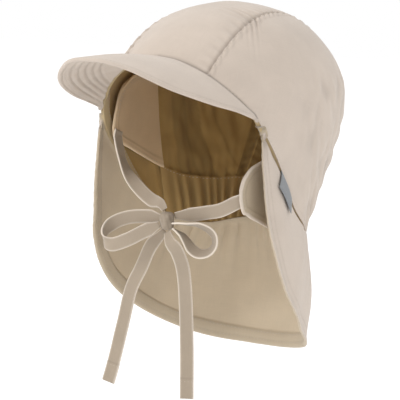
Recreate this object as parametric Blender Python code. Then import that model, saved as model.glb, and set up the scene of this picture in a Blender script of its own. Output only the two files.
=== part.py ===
"""Child's legionnaire cap: three-panel crown, stiff peak, neck flap, ear flaps and a tied bow.

Metres, +Z up. The cap faces -Y and the wearer's left is +X. The origin is the middle of the
head's opening, midway between the temples.
"""
import math

import bpy
import numpy as np

# Crown, measured from the origin
HALF_WIDTH = 0.068          # widest level, origin to side
CROWN_FRONT = 0.084         # from the tallest point forward to the widest level
CROWN_BACK = 0.093          # from the tallest point back to the widest level
TOP_SETBACK = 0.0535        # the tallest point lies this far behind the temples
WIDEST_LEVEL = 0.005        # height of the widest level above the temples
CROWN_TOP = 0.0663          # height of the crown above the temples
FRONT_RISE = 0.0345         # the rim's height over the forehead
NAPE_DROP = 0.082           # the rim's depth at the nape
FRONT_SQUARENESS = 2.7      # 2 is an ellipse, more is squarer
BACK_SQUARENESS = 2.2
PANEL_HALF_WIDTH = 0.0345   # centre panel, at the forehead
TUCK_CURVE = 1.7            # 1 is a straight taper to the rim, more is rounder
CROWN_WALL = 0.0016
GATHER_DEPTH = 0.0009       # puckers over the elastic
GATHERS = 28.5              # as many as would go round the whole crown
GATHER_START = 84.0         # where they begin, in degrees from the front

# Peak
PEAK_LENGTH = 0.071         # from the rim to its front edge, at the middle
PEAK_HALF_WIDTH = 0.0645
PEAK_TILT = 0.004           # rise of its front edge over the rim
PEAK_WALL = 0.0024
PEAK_CORNER = 49.5          # where the peak ends on the rim, in degrees from the front
PEAK_CORNER_SWEEP = 0.022   # how far its corners are drawn back
PEAK_CAMBER = 0.0022        # how far it bulges upwards

# Neck flap
FLAP_LENGTH = 0.0835        # below the rim, at the nape
FLAP_HALF_WIDTH = 0.0735
FLAP_BACK = 0.095           # behind the temples, at the nape
FLAP_WALL = 0.0012
FLAP_START = 51.0           # where the flap begins on the rim, in degrees from the front
HEM_WIDTH = 0.010
FLAP_SWELL = 0.0050         # how far the flap bellies out between seam and hem
HEM_WALL = 0.0020

# Inside
FACING_WIDTH = 0.0085
FACING_WALL = 0.0010
FACING_REACH = 78.0         # to either side, in degrees from the front
CASING_WIDTH = 0.032
CASING_WALL = 0.0012
CASING_RIPPLE = 0.0011
CASING_RIPPLES = 22
CASING_START = 100.0        # where it begins, in degrees from the front
EAR_FLAP_LENGTH = 0.056
EAR_FLAP_WIDTH = 0.064
EAR_FLAP_WALL = 0.0012
EAR_FLAP_HANG = 0.0035      # how far the right one's tip stands off the crown
EAR_FLAP_INSET = 0.0022      # the left one's root, in from the crown
EAR_FLAP_TIP_X = 0.0575     # the left one's tip, out from the middle
EAR_FLAP_ROOT_LOW = -0.055  # the left one's root follows the crown down to this height
# The ear flaps' tips, left 1 and right -1.
# behind the temples, above them, and the upper half's width as a share of the usual
EAR_FLAP_TIPS = {1: (-0.0120, -0.0485, 0.68), -1: (0.0078, -0.0120, 1.0)}

# Ties, bow and label
TIE_WIDTH = 0.0090
TIE_WALL = 0.0011
KNOT_WIDTH = 0.0095
KNOT_HEIGHT = 0.0115
KNOT_DEPTH = 0.0085
LABEL_START = 64.0          # its upper end on the rim, in degrees from the front
LABEL_LENGTH = 0.0226
LABEL_WIDTH = 0.0135
LABEL_WALL = 0.0006
LABEL_INSET = 0.0006        # from the seam to its inner edge
LABEL_SLANT = 0.12          # how much it droops along the seam

GAP = 0.00035               # kept between pieces that are sewn together

# The rim, from the forehead round to the nape.
# angle from the front in degrees, height as a share (of FRONT_RISE above zero, of NAPE_DROP
# below), and how far the rim is drawn in from the widest level
RIM = [
    (0, 1.00, 0.000),
    (12, 0.94, 0.000),
    (20, 0.84, 0.000),
    (26, 0.73, 0.000),
    (33, 0.55, 0.000),
    (40, 0.32, -0.005),
    (46, 0.08, -0.020),
    (52, -0.12, -0.045),
    (65, -0.47, 0.015),
    (76, -0.73, 0.065),
    (90, -0.91, 0.105),
    (110, -1.05, 0.250),
    (130, -1.08, 0.390),
    (155, -1.04, 0.500),
    (180, -1.00, 0.549),
]

# Seam between the centre and side panels, from the forehead over the top to the back.
# share of the way back, half width as a share of PANEL_HALF_WIDTH
PANEL_SEAM = [(0.0, 0.95), (0.15, 1.04), (0.35, 0.99), (0.6, 0.80), (1.0, 0.74)]

# Peak's outer edge, from the middle to the corner at the temple.
# half width as a share of PEAK_HALF_WIDTH, length as a share of PEAK_LENGTH, and drop from
# the middle as a share of FRONT_RISE
PEAK_EDGE = [
    (0.00, 1.000, 0.000),
    (0.14, 0.990, 0.010),
    (0.28, 0.955, 0.065),
    (0.42, 0.880, 0.170),
    (0.56, 0.785, 0.330),
    (0.68, 0.660, 0.500),
    (0.79, 0.500, 0.660),
    (0.88, 0.330, 0.820),
    (0.95, 0.180, 0.960),
    (0.975, 0.040, 1.170),
]

# Neck flap's free edge, from the temple down the front and round to the middle of the back.
# half width as a share of FLAP_HALF_WIDTH, distance behind the temples as a share of FLAP_BACK,
# height below the temples as a share of NAPE_DROP + FLAP_LENGTH
FLAP_EDGE = [
    (0.885, 0.033, 0.070),
    (0.900, 0.004, 0.150),
    (0.908, -0.008, 0.225),
    (0.930, -0.009, 0.320),
    (0.968, 0.006, 0.420),
    (1.010, 0.045, 0.545),
    (1.018, 0.140, 0.665),
    (0.975, 0.320, 0.800),
    (0.860, 0.580, 0.908),
    (0.670, 0.790, 0.978),
    (0.360, 0.905, 1.010),
    (0.000, 0.925, 1.018),
]

# Ear flaps, from the rounded tip that the tie is sewn to back to the root.
# share of EAR_FLAP_LENGTH, upper and lower edge as shares of EAR_FLAP_WIDTH
EAR_FLAP_SHAPE = [
    (0.000, 0.050, -0.050),
    (0.035, 0.155, -0.155),
    (0.135, 0.300, -0.225),
    (0.360, 0.420, -0.320),
    (0.730, 0.500, -0.470),
    (1.000, 0.515, -0.580),
]

# Ties and bow: across the bow, up, and towards the viewer, all from the knot, in metres.
RIGHT_TIE = [
    (-0.0020, 0.0070, -0.0014),
    (-0.0064, 0.0101, -0.0060),
    (-0.0140, 0.0110, -0.0125),
    (-0.0247, 0.0155, -0.0228),
    (-0.0358, 0.0232, -0.0333),
    (-0.0430, 0.0345, -0.0385),
]
LEFT_TIE = [
    (0.0047, 0.0034, -0.0014),
    (0.0169, 0.0049, 0.0008),
    (0.0278, 0.0072, 0.0045),
    (0.0381, 0.0098, 0.0070),
]
RIGHT_LOOP = [
    (-0.0046, 0.0016, -0.0021),
    (-0.0165, 0.0016, -0.0050),
    (-0.0280, 0.0002, -0.0060),
    (-0.0375, -0.0036, -0.0048),
    (-0.0425, -0.0092, -0.0012),
    (-0.0412, -0.0145, 0.0028),
    (-0.0350, -0.0160, 0.0052),
    (-0.0245, -0.0122, 0.0058),
    (-0.0150, -0.0072, 0.0046),
    (-0.0045, -0.0022, 0.0024),
]
LEFT_LOOP = [
    (0.0049, -0.0012, 0.0025),
    (0.0140, -0.0004, 0.0062),
    (0.0228, -0.0008, 0.0064),
    (0.0294, -0.0036, 0.0064),
    (0.0332, -0.0080, 0.0064),
    (0.0330, -0.0135, 0.0062),
    (0.0292, -0.0180, 0.0058),
    (0.0232, -0.0194, 0.0054),
    (0.0178, -0.0168, 0.0048),
    (0.0138, -0.0118, 0.0036),
    (0.0102, -0.0078, 0.0022),
    (0.0041, -0.0046, 0.0004),
]
RIGHT_TAIL = [
    (-0.0016, -0.0067, -0.0010),
    (-0.0065, -0.0115, -0.0022),
    (-0.0118, -0.0175, -0.0022),
    (-0.0176, -0.0310, -0.0010),
    (-0.0244, -0.0458, 0.0000),
    (-0.0307, -0.0713, 0.0000),
    (-0.0363, -0.0937, 0.0000),
    (-0.0402, -0.1077, 0.0005),
]
LEFT_TAIL = [
    (0.0006, -0.0069, 0.0017),
    (0.0046, -0.0124, 0.0080),
    (0.0092, -0.0180, 0.0088),
    (0.0126, -0.0298, 0.0070),
    (0.0136, -0.0500, 0.0045),
    (0.0139, -0.0828, 0.0030),
    (0.0138, -0.1148, 0.0030),
]
# Where each tie's end lies on its ear flap, left 1 and right -1.
# the flap's own back and across, and how far off it, in metres
TIE_SEATS = {
    1: [(0.12, -0.35, 0.0020), (0.22, -0.35, 0.0005), (0.36, -0.32, 0.0001)],
    -1: [(0.050, -0.98, 0.0012), (0.060, -0.75, 0.0006), (0.080, -0.45, 0.0003)],
}
KNOT = (0.0, -0.0115, -0.0705)
BOW_TURN = 20               # degrees that the bow faces round from the front, to the left


def smooth(table, x):
    """The table's columns at x, on one smooth curve through its rows."""
    keys = np.array([row[0] for row in table], float)
    values = np.array([row[1:] for row in table], float)
    slopes = np.gradient(values, keys, axis=0)
    x = min(max(x, keys[0]), keys[-1])
    i = min(int(np.searchsorted(keys, x, "right")) - 1, len(keys) - 2)
    step = keys[i + 1] - keys[i]
    s = (x - keys[i]) / step
    start, end = 2 * s**3 - 3 * s**2 + 1, 3 * s**2 - 2 * s**3
    lean_in, lean_out = s**3 - 2 * s**2 + s, s**3 - s**2
    return (
        values[i] * start
        + slopes[i] * step * lean_in
        + values[i + 1] * end
        + slopes[i + 1] * step * lean_out
    )


def along(points, share):
    """The point at a share of the length of a line of points."""
    points = np.asarray(points, float)
    steps = np.linalg.norm(np.diff(points, axis=0), axis=1)
    reach = np.concatenate([[0.0], np.cumsum(steps)])
    where = share * reach[-1]
    return np.array([np.interp(where, reach, points[:, axis]) for axis in range(3)])


def curve_through(points, count):
    """count points, evenly spaced on a smooth curve through the given ones."""
    table = [(i, *point) for i, point in enumerate(points)]
    fine = [smooth(table, x) for x in np.linspace(0, len(points) - 1, 12 * len(points))]
    return np.array([along(fine, share) for share in np.linspace(0, 1, count)])


def unit(vector):
    return vector / max(float(np.linalg.norm(vector)), 1e-12)


# Crown surface

def plan(angle, lift):
    """The crown's outline seen from above, at an angle from the front and a lift in radians."""
    side, ahead = math.sin(angle), math.cos(angle)
    reach, square = (
        (CROWN_FRONT, FRONT_SQUARENESS) if ahead > 0 else (CROWN_BACK, BACK_SQUARENESS)
    )
    power = 2 + (square - 2) * (1 - math.sin(max(lift, 0.0))) ** 3
    radius = (abs(side / HALF_WIDTH) ** power + abs(ahead / reach) ** power) ** (-1 / power)
    return radius * side, -radius * ahead


def rim_height(degrees):
    share = smooth(RIM, abs(degrees))[0]
    return share * (FRONT_RISE if share > 0 else NAPE_DROP)


def rim_lift(degrees):
    """The lift at which the crown's surface meets its rim."""
    height = (rim_height(degrees) - WIDEST_LEVEL) / (CROWN_TOP - WIDEST_LEVEL)
    return math.asin(height) if height > 0 else height


def pucker(degrees, lift):
    """Gathers of the cloth over the elastic, round the lower back."""
    round_it = (abs(degrees) - GATHER_START) * 90 / (180 - GATHER_START)
    round_back = max(0.0, math.sin(math.radians(round_it))) ** 0.7
    low = max(0.0, min(1.0, 0.15 - lift)) ** 0.6
    return GATHER_DEPTH * round_back * low * math.cos(math.radians(degrees) * GATHERS)


def crown_point(degrees, lift):
    """A point of the crown: lift runs from the rim's through 0, the widest, to pi/2, the top."""
    x, y = plan(math.radians(abs(degrees)), lift)
    rise = CROWN_TOP - WIDEST_LEVEL
    if lift >= 0:
        radius, height = math.cos(lift), WIDEST_LEVEL + rise * math.sin(lift)
    else:
        lowest = rim_lift(degrees)
        tuck = smooth(RIM, abs(degrees))[1]
        radius = 1 - tuck * min(lift / lowest, 1.1) ** TUCK_CURVE
        height = WIDEST_LEVEL + rise * lift
    side = 1 if degrees >= 0 else -1
    away = unit(np.array([side * x, y, 0.0]))
    flat = np.array([side * x * radius, TOP_SETBACK + y * radius, height])
    return flat + away * pucker(degrees, lift)


def rim_point(degrees):
    return crown_point(degrees, rim_lift(degrees))


def inward(degrees):
    """The level direction from the rim straight into the cap."""
    ahead, back = rim_point(degrees - 1.5), rim_point(degrees + 1.5)
    run = back - ahead
    level = unit(np.array([-run[1], run[0], 0.0]))
    return level if np.dot(level[:2], rim_point(degrees)[:2] - (0, TOP_SETBACK)) < 0 else -level


# Solids

def grid_normals(grid):
    """The normal at each point of a grid of points, by its neighbours."""
    down = np.gradient(grid, axis=0)
    across = np.gradient(grid, axis=1)
    normal = np.cross(across, down)
    length = np.linalg.norm(normal, axis=2, keepdims=True)
    return normal / np.maximum(length, 1e-12)


def material(name, colour, roughness, metallic=0.0):
    made = bpy.data.materials.new(name)
    made.use_nodes = True
    shader = made.node_tree.nodes["Principled BSDF"]
    shader.inputs["Base Color"].default_value = (*colour, 1.0)
    shader.inputs["Roughness"].default_value = roughness
    shader.inputs["Metallic"].default_value = metallic
    return made


def add_object(name, vertices, faces, finish):
    mesh = bpy.data.meshes.new(name)
    mesh.from_pydata([tuple(v) for v in vertices], [], faces)
    mesh.validate()
    mesh.materials.append(finish)
    mesh.shade_smooth()
    piece = bpy.data.objects.new(name, mesh)
    bpy.context.collection.objects.link(piece)
    return piece


def cloth(name, front, back, finish, closed=False):
    """A wall between two grids of points; closed joins the last column to the first."""
    front, back = np.asarray(front, float), np.asarray(back, float)
    rows, columns = front.shape[:2]
    vertices = np.concatenate([front.reshape(-1, 3), back.reshape(-1, 3)])
    size = rows * columns
    faces = []
    for r in range(rows - 1):
        for c in range(columns if closed else columns - 1):
            a, b = r * columns + c, r * columns + (c + 1) % columns
            quad = (a, b, b + columns, a + columns)
            faces.append(quad)
            faces.append(tuple(size + v for v in reversed(quad)))
    edge = [(c, c + 1) for c in range(columns - 1)]
    last = (rows - 1) * columns
    if closed:
        edge.append((columns - 1, 0))
        border = [(b, a) for a, b in edge] + [(last + a, last + b) for a, b in edge]
    else:
        border = [(b, a) for a, b in edge] + [(last + a, last + b) for a, b in edge]
        for r in range(rows - 1):
            start, end = r * columns, (r + 1) * columns
            border.append((start, end))
            border.append((end + columns - 1, start + columns - 1))
    faces += [(a, b, size + b, size + a) for a, b in border]
    piece = add_object(name, vertices, faces, finish)
    face_outwards(piece)
    return piece


def face_outwards(piece):
    """Turns a closed body's faces outwards, if it came out inside out."""
    mesh = piece.data
    volume = 0.0
    for face in mesh.polygons:
        corners = [np.array(mesh.vertices[v].co) for v in face.vertices]
        for second, third in zip(corners[1:-1], corners[2:]):
            volume += float(np.dot(corners[0], np.cross(second, third)))
    if volume < 0:
        mesh.flip_normals()


def strap(name, path, faces_along, finish, width=TIE_WIDTH, wall=TIE_WALL):
    """A flat tape that follows a path, its face turned along the given directions."""
    path = np.asarray(path, float)
    run = np.gradient(path, axis=0)
    turned = [smooth([(i, *d) for i, d in enumerate(faces_along)], s)
              for s in np.linspace(0, len(faces_along) - 1, len(path))]
    widths = np.interp(np.linspace(0, 1, len(path)), np.linspace(0, 1, len(np.atleast_1d(width))),
                       np.atleast_1d(width)) if np.ndim(width) else np.full(len(path), width)
    front, back = [], []
    for point, way, face, broad in zip(path, run, turned, widths):
        way = unit(way)
        across = unit(np.cross(np.asarray(face), way))
        out = unit(np.cross(way, across))
        near, far = point + out * wall / 2, point - out * wall / 2
        front.append([near - across * broad / 2, near + across * broad / 2])
        back.append([far - across * broad / 2, far + across * broad / 2])
    return cloth(name, front, back, finish)


# Pieces

def crown_columns():
    """Angles round the crown, closer over the gathers."""
    front = np.arange(-84, 85, 7.0)
    back = np.arange(87, 274, 3.0)
    return [a if a <= 180 else a - 360 for a in [*front, *back]]


def crown_solid(finish):
    rows = 15
    angles = crown_columns()
    outer = []
    for r in range(rows):
        share = (r / rows) ** 0.9
        outer.append([
            crown_point(a, rim_lift(a) + (math.pi / 2 - rim_lift(a)) * share) for a in angles
        ])
    outer = np.array(outer)
    wide = np.concatenate([outer[:, -1:], outer, outer[:, :1]], axis=1)
    normals = grid_normals(wide)[:, 1:-1]
    centre = np.array([0, TOP_SETBACK, 0])
    if np.sum(normals * (outer - centre)) > 0:
        normals = -normals
    inner = outer + normals * CROWN_WALL
    for c, a in enumerate(angles):
        inner[0, c] = outer[0, c] + inward(a) * CROWN_WALL
    vertices = list(outer.reshape(-1, 3)) + list(inner.reshape(-1, 3))
    top = np.array([0, TOP_SETBACK, CROWN_TOP])
    vertices += [top, top - (0, 0, CROWN_WALL)]
    columns, size = len(angles), rows * len(angles)
    faces = []
    for c in range(columns):
        following = (c + 1) % columns
        for r in range(rows - 1):
            a, b = r * columns + c, r * columns + following
            quad = (a, b, b + columns, a + columns)
            faces.append(quad)
            faces.append(tuple(size + v for v in reversed(quad)))
        high, high_next = (rows - 1) * columns + c, (rows - 1) * columns + following
        faces.append((high, high_next, 2 * size))
        faces.append((size + high_next, size + high, 2 * size + 1))
        faces.append((following, c, size + c, size + following))
    piece = add_object("crown", vertices, faces, finish)
    face_outwards(piece)
    return piece


def panel_cutter(name, side):
    """A tall block over one panel's plan: side 0 is the centre panel, 1 and -1 the sides."""
    reach = HALF_WIDTH + CROWN_BACK
    front, back = TOP_SETBACK - CROWN_FRONT, TOP_SETBACK + CROWN_BACK
    stops = np.linspace(0, 1, 15)
    line = [(smooth(PANEL_SEAM, s)[0] * PANEL_HALF_WIDTH, front + (back - front) * s) for s in stops]
    line = [(line[0][0], front - reach)] + line + [(line[-1][0], back + reach)]
    half = GAP / 2
    if side == 0:
        outline = [(x - half, y) for x, y in line] + [(half - x, y) for x, y in reversed(line)]
    else:
        outline = [(side * (x + half), y) for x, y in line]
        outline += [(side * reach, back + reach), (side * reach, front - reach)]
    low, high = -NAPE_DROP * 1.5, CROWN_TOP + 0.01
    count = len(outline)
    vertices = [(x, y, low) for x, y in outline] + [(x, y, high) for x, y in outline]
    faces = [tuple(range(count)), tuple(range(2 * count - 1, count - 1, -1))]
    for i in range(count):
        after = (i + 1) % count
        faces.append((i, i + count, after + count, after))
    mesh = bpy.data.meshes.new(name)
    mesh.from_pydata(vertices, [], faces)
    cutter = bpy.data.objects.new(name, mesh)
    cutter.hide_render = True
    cutter.display_type = "WIRE"
    bpy.context.collection.objects.link(cutter)
    face_outwards(cutter)
    return cutter


def crown(finish):
    """The crown's three panels, each the whole dome kept inside its own block."""
    dome = crown_solid(finish)
    names = {0: "crown_centre_panel", 1: "crown_side_panel_left", -1: "crown_side_panel_right"}
    for side, name in names.items():
        panel = bpy.data.objects.new(name, dome.data.copy())
        bpy.context.collection.objects.link(panel)
        keep = panel.modifiers.new("panel", "BOOLEAN")
        keep.operation = "INTERSECT"
        keep.solver = "EXACT"
        keep.object = panel_cutter(f"cut_{name}", side)
    bpy.data.objects.remove(dome, do_unlink=True)


def facing(finish):
    """The narrow band inside the rim, round the forehead and the temples."""
    outer, inner = [], []
    for share in (0.0, 0.5, 1.0):
        row_out, row_in = [], []
        for a in np.linspace(-FACING_REACH, FACING_REACH, 45):
            lift = rim_lift(a)
            per_lift = np.linalg.norm(crown_point(a, lift + 0.05) - crown_point(a, lift)) / 0.05
            here = lift + (0.0015 + FACING_WIDTH * share) / per_lift
            into = inward(a)
            point = crown_point(a, here)
            normal = surface_inward(a, here)
            seat = point + normal * (CROWN_WALL + 2 * GAP)
            if share == 0.0:
                seat = point + into * (CROWN_WALL + 2.2 * GAP)
            row_out.append(seat)
            row_in.append(seat + normal * FACING_WALL)
        outer.append(row_out)
        inner.append(row_in)
    cloth("rim_facing", outer, inner, finish)


def surface_inward(degrees, lift):
    """The direction into the cap, square to the crown's surface."""
    here = crown_point(degrees, lift)
    round_it = crown_point(degrees + 1, lift) - crown_point(degrees - 1, lift)
    if abs(degrees) > 179:
        round_it = np.array([-1.0, 0.0, 0.0])
    up = crown_point(degrees, lift + 0.02) - here
    normal = unit(np.cross(round_it, up))
    return normal if np.dot(normal, here - (0, TOP_SETBACK, 0)) < 0 else -normal


def casing(finish):
    """The gathered channel that holds the elastic, inside the nape."""
    outer, inner = [], []
    turn = np.linspace(CASING_START, 360 - CASING_START, 81)
    angles = [a if a <= 180 else a - 360 for a in turn]
    for share in (0.0, 0.12, 0.5, 0.88, 1.0):
        row_out, row_in = [], []
        for i, a in enumerate(angles):
            lift = rim_lift(a)
            per_lift = np.linalg.norm(crown_point(a, lift + 0.05) - crown_point(a, lift)) / 0.05
            here = lift + (0.0015 + CASING_WIDTH * share) / per_lift
            normal = surface_inward(a, here)
            slack = math.sin(math.pi * min(1, max(0, share * 1.25)))
            wave = 0.5 - 0.5 * math.cos(2 * math.pi * i * CASING_RIPPLES / (len(angles) - 1))
            fade = math.sin(math.pi * i / (len(angles) - 1)) ** 0.5
            depth = CROWN_WALL + 1.8 * GAP + CASING_RIPPLE * wave * fade * (0.35 + 0.65 * slack)
            seat = crown_point(a, here) + normal * depth
            row_out.append(seat)
            row_in.append(seat + normal * CASING_WALL)
        outer.append(row_out)
        inner.append(row_in)
    cloth("nape_casing", outer, inner, finish)


def peak(finish):
    """The stiff peak, from the rim to its rounded front edge."""
    corner = PEAK_CORNER
    top = []
    columns = 33
    for i in range(columns):
        place = 2 * i / (columns - 1) - 1
        side = -1 if place < 0 else 1
        root = rim_point(place * corner) - inward(place * corner) * 1.3 * GAP
        root[2] += 0.0004
        share = abs(place)
        edge_row = smooth([(k / (len(PEAK_EDGE) - 1), *row) for k, row in enumerate(PEAK_EDGE)],
                          share)
        front = rim_point(0)[1]
        tip = np.array([
            side * edge_row[0] * PEAK_HALF_WIDTH,
            front - edge_row[1] * PEAK_LENGTH + PEAK_CORNER_SWEEP * share**6,
            FRONT_RISE + PEAK_TILT - edge_row[2] * FRONT_RISE,
        ])
        column = []
        for s in np.linspace(0, 1, 8):
            point = root * (1 - s) + tip * s
            point[2] += PEAK_CAMBER * math.sin(math.pi * s) * (1 - share**2)
            column.append(point)
        top.append(column)
    top = np.swapaxes(np.array(top), 0, 1)
    normals = grid_normals(top)
    if normals[3, columns // 2][2] > 0:
        normals = -normals
    under = top + normals * PEAK_WALL
    for c in range(columns):
        under[0, c] = top[0, c] - (0, 0, PEAK_WALL)
    cloth("peak", top, under, finish)


def flap_edge(share):
    """The neck flap's free edge: 0 at the temple, 1 at the middle of the back."""
    depth = NAPE_DROP + FLAP_LENGTH
    line = [(w * FLAP_HALF_WIDTH, b * FLAP_BACK, -h * depth) for w, b, h in FLAP_EDGE]
    return along(curve_through(line, 60), share)


def flap_seam(share):
    angle = FLAP_START + (180 - FLAP_START) * share
    point = rim_point(angle)
    return point - (0, 0, 1.2 * GAP), inward(angle)


def flap_grid(columns=29, rows=9):
    """The flap's outer face, from one temple round to the other, seam to hem."""
    seam_line = [flap_seam(s)[0] for s in np.linspace(0, 1, 50)]
    steps = np.concatenate([[0], np.cumsum(np.linalg.norm(np.diff(seam_line, axis=0), axis=1))])
    half, seats = [], []
    for s in np.linspace(0.012, 1, columns):
        fraction = float(np.interp(s * steps[-1], steps, np.linspace(0, 1, 50)))
        seam, into = flap_seam(fraction)
        edge = flap_edge(s)
        long = float(np.linalg.norm(edge - seam))
        hem = min(HEM_WIDTH / long, 0.45)
        stops = [*np.linspace(0, 1 - hem, rows - 2), 1 - hem * 0.94, 1.0]
        column = []
        for t in stops:
            point = seam * (1 - t) + edge * t
            out = unit(np.array([point[0], point[1] - 0.4 * FLAP_BACK, 0.0]))
            swell = FLAP_SWELL * math.sin(math.pi * min(1, t * 1.08)) * min(1, long / 0.05)
            column.append(point + out * swell * s**0.5)
        half.append(column)
        seats.append(into)
    return half, seats


def neck_flap(finish):
    half, seats = flap_grid()
    mirrored = [[point * (-1, 1, 1) for point in column] for column in half[-2::-1]]
    grid = np.swapaxes(np.array(half + mirrored), 0, 1)
    seats = seats + [seat * (-1, 1, 1) for seat in seats[-2::-1]]
    normals = grid_normals(grid)
    middle = grid.shape[1] // 2
    if normals[4, middle][1] > 0:
        normals = -normals
    walls = np.full(grid.shape[0], FLAP_WALL)
    walls[-2:] = HEM_WALL
    inner = grid + normals * walls[:, None, None]
    for c, seat in enumerate(seats):
        inner[0, c] = grid[0, c] + seat * FLAP_WALL
    cloth("neck_flap", grid, inner, finish)
    return grid, normals


def seat_x(y, z):
    """How far out a sewn-in piece can lie inside the crown's side, at a place."""
    low, high = 20.0, 160.0
    lift = (z - WIDEST_LEVEL) / (CROWN_TOP - WIDEST_LEVEL)
    lift = math.asin(min(lift, 1)) if lift > 0 else lift
    for _ in range(30):
        middle = (low + high) / 2
        point = crown_point(middle, max(lift, rim_lift(middle)))
        low, high = (middle, high) if point[1] < y else (low, middle)
    here = max(lift, rim_lift(middle))
    inside = crown_point(middle, here) + surface_inward(middle, here) * (CROWN_WALL + 2 * GAP)
    return float(inside[0])


def ear_flap_point(side, back, across):
    """A point of an ear flap: back is 0 at its tip and 1 at its root, across -1 to 1."""
    upper, lower = smooth(EAR_FLAP_SHAPE, back)
    tip_y, tip_z, spread = EAR_FLAP_TIPS[side]
    reach = upper * spread if across > 0 else -lower
    y = tip_y + back * EAR_FLAP_LENGTH
    z = tip_z + across * reach * EAR_FLAP_WIDTH
    if side > 0:
        root = seat_x(tip_y + EAR_FLAP_LENGTH, max(z, EAR_FLAP_ROOT_LOW)) - EAR_FLAP_INSET
        x = EAR_FLAP_TIP_X + (root - EAR_FLAP_TIP_X) * back**1.2
    else:
        x = seat_x(y, z) - EAR_FLAP_HANG * (1 - back)
    return np.array([side * x, y, z])


def ear_flap(name, side, finish):
    """A rounded ear flap: its root lies against the crown, its tip is free."""
    backs = [0, 0.035, 0.09, 0.17, 0.28, 0.42, 0.58, 0.79, 1]
    grid = np.array([[ear_flap_point(side, back, across) for across in np.linspace(-1, 1, 11)]
                     for back in backs])
    normals = grid_normals(grid)
    if normals[4, 5][0] * side > 0:
        normals = -normals
    cloth(name, grid, grid + normals * EAR_FLAP_WALL, finish)
    return grid, normals


def from_knot(point):
    """A place given across the bow, up and towards the viewer, as a place in the frame."""
    turn = math.radians(BOW_TURN)
    right = np.array([math.cos(turn), math.sin(turn), 0.0])
    ahead = np.array([math.sin(turn), -math.cos(turn), 0.0])
    return np.array(KNOT) + right * point[0] + np.array([0, 0, point[1]]) + ahead * point[2]


def bow_way(across, up, ahead):
    return from_knot((across, up, ahead)) - np.array(KNOT)


def tie_to_ear(name, side, route, finish):
    """A tie from the knot to the inner face of its ear flap, where its end is sewn down."""
    ends = []
    for back, across, off in TIE_SEATS[side]:
        place = ear_flap_point(side, back, across)
        beside = ear_flap_point(side, back + 0.02, across) - place
        upward = ear_flap_point(side, back, across + 0.1) - place
        into = unit(np.cross(beside, upward))
        into = into if into[0] * side < 0 else -into
        ends.append(place + into * (EAR_FLAP_WALL + GAP + TIE_WALL / 2 + off))
    path = curve_through([from_knot(p) for p in route] + ends, 26)
    if side > 0:
        faces = [bow_way(0, 0, 1)] * 5 + [-into] * 2
    else:
        faces = [bow_way(0, 0.4, 1), bow_way(0.1, 0.5, 0.9), bow_way(0.3, 0.4, 0.7), into, into]
    strap(name, path, faces, finish, width=[0.45 * TIE_WIDTH] + [TIE_WIDTH] * 6)


def bow(finish):
    """The knot, its two loops and its two tails."""
    front, left, down, back = (0, 0, 1), (-1, 0, 0), (0, -0.85, -0.5), (0, 0, -1)
    narrow = [0.45 * TIE_WIDTH] + [TIE_WIDTH] * 6
    loop_width = narrow + narrow[::-1]
    strap("bow_loop_right", curve_through([from_knot(p) for p in RIGHT_LOOP], 34),
          [bow_way(*w) for w in (back, back, back, left, front, front, front)], finish,
          width=loop_width)
    turning = [(0, 1, -0.1), (0.5, 0.85, -0.2), (1, 0.1, -0.5), (0.5, -0.7, -0.5), down,
               (-0.9, -0.3, -0.3), (-1, -0.3, 0)]
    strap("bow_loop_left", curve_through([from_knot(p) for p in LEFT_LOOP], 36),
          [bow_way(*w) for w in turning], finish, width=loop_width)
    for name, route, lean in (("tie_tail_right", RIGHT_TAIL, -0.15), ("tie_tail_left", LEFT_TAIL, 0.1)):
        path = curve_through([from_knot(p) for p in route], 26)
        strap(name, path, [bow_way(lean, 0, 1)] * 2, finish, width=[0.5 * TIE_WIDTH] + [TIE_WIDTH] * 9)
    knot(finish)


def knot(finish):
    """The knot: a rounded wrap, a little wider at the top."""
    rings, sides = 7, 12
    grid = []
    for r in range(rings):
        rise = -math.cos(math.pi * (r + 0.5) / rings)
        girth = (1 - abs(rise) ** 3.2) ** (1 / 3.2)
        ring = []
        for s in range(sides):
            turn = 2 * math.pi * s / sides
            ring.append(from_knot((
                0.5 * KNOT_WIDTH * girth * math.cos(turn) * (1 + 0.08 * rise),
                0.5 * KNOT_HEIGHT * rise,
                0.5 * KNOT_DEPTH * girth * math.sin(turn),
            )))
        grid.append(ring)
    vertices = [p for ring in grid for p in ring]
    faces = [tuple(range(sides)), tuple(range(rings * sides - 1, (rings - 1) * sides - 1, -1))]
    for r in range(rings - 1):
        for s in range(sides):
            a, b = r * sides + s, r * sides + (s + 1) % sides
            faces.append((b, a, a + sides, b + sides))
    face_outwards(add_object("bow_knot", vertices, faces, finish))


def label(flap, normals, finish):
    """The plain label, its inner edge in the seam between crown and flap, on the left."""
    middle = flap.shape[1] // 2
    left = flap[:, : middle + 1]
    outward = -normals[:, : middle + 1]
    seam = curve_through(list(left[0]), 120)
    starts = np.linalg.norm(seam - rim_point(LABEL_START), axis=1).argmin()
    begin = float(starts) / 119
    length = float(np.linalg.norm(np.diff(seam, axis=0), axis=1).sum())
    rows_out, rows_in = [], []
    for w in (0.0, 0.35, 0.7, 1.0):
        row_out, row_in = [], []
        for s in np.linspace(0, 1, 5):
            edge = along(seam, begin + s * LABEL_LENGTH / length)
            ahead = along(seam, begin + s * LABEL_LENGTH / length + 0.02)
            run = unit(ahead - edge)
            across = unit(np.cross(run, [1.0, 0.0, 0.0]))
            across = across if across[1] < 0 else -across
            across = unit(across + np.array([0, 0, -LABEL_SLANT]))
            place = edge + across * (LABEL_INSET + w * LABEL_WIDTH)
            point, out = on_grid(left, outward, place)
            row_in.append(point + out * 1.3 * GAP)
            row_out.append(point + out * (1.3 * GAP + LABEL_WALL))
        rows_out.append(row_out)
        rows_in.append(row_in)
    cloth("label", rows_out, rows_in, finish)


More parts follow.
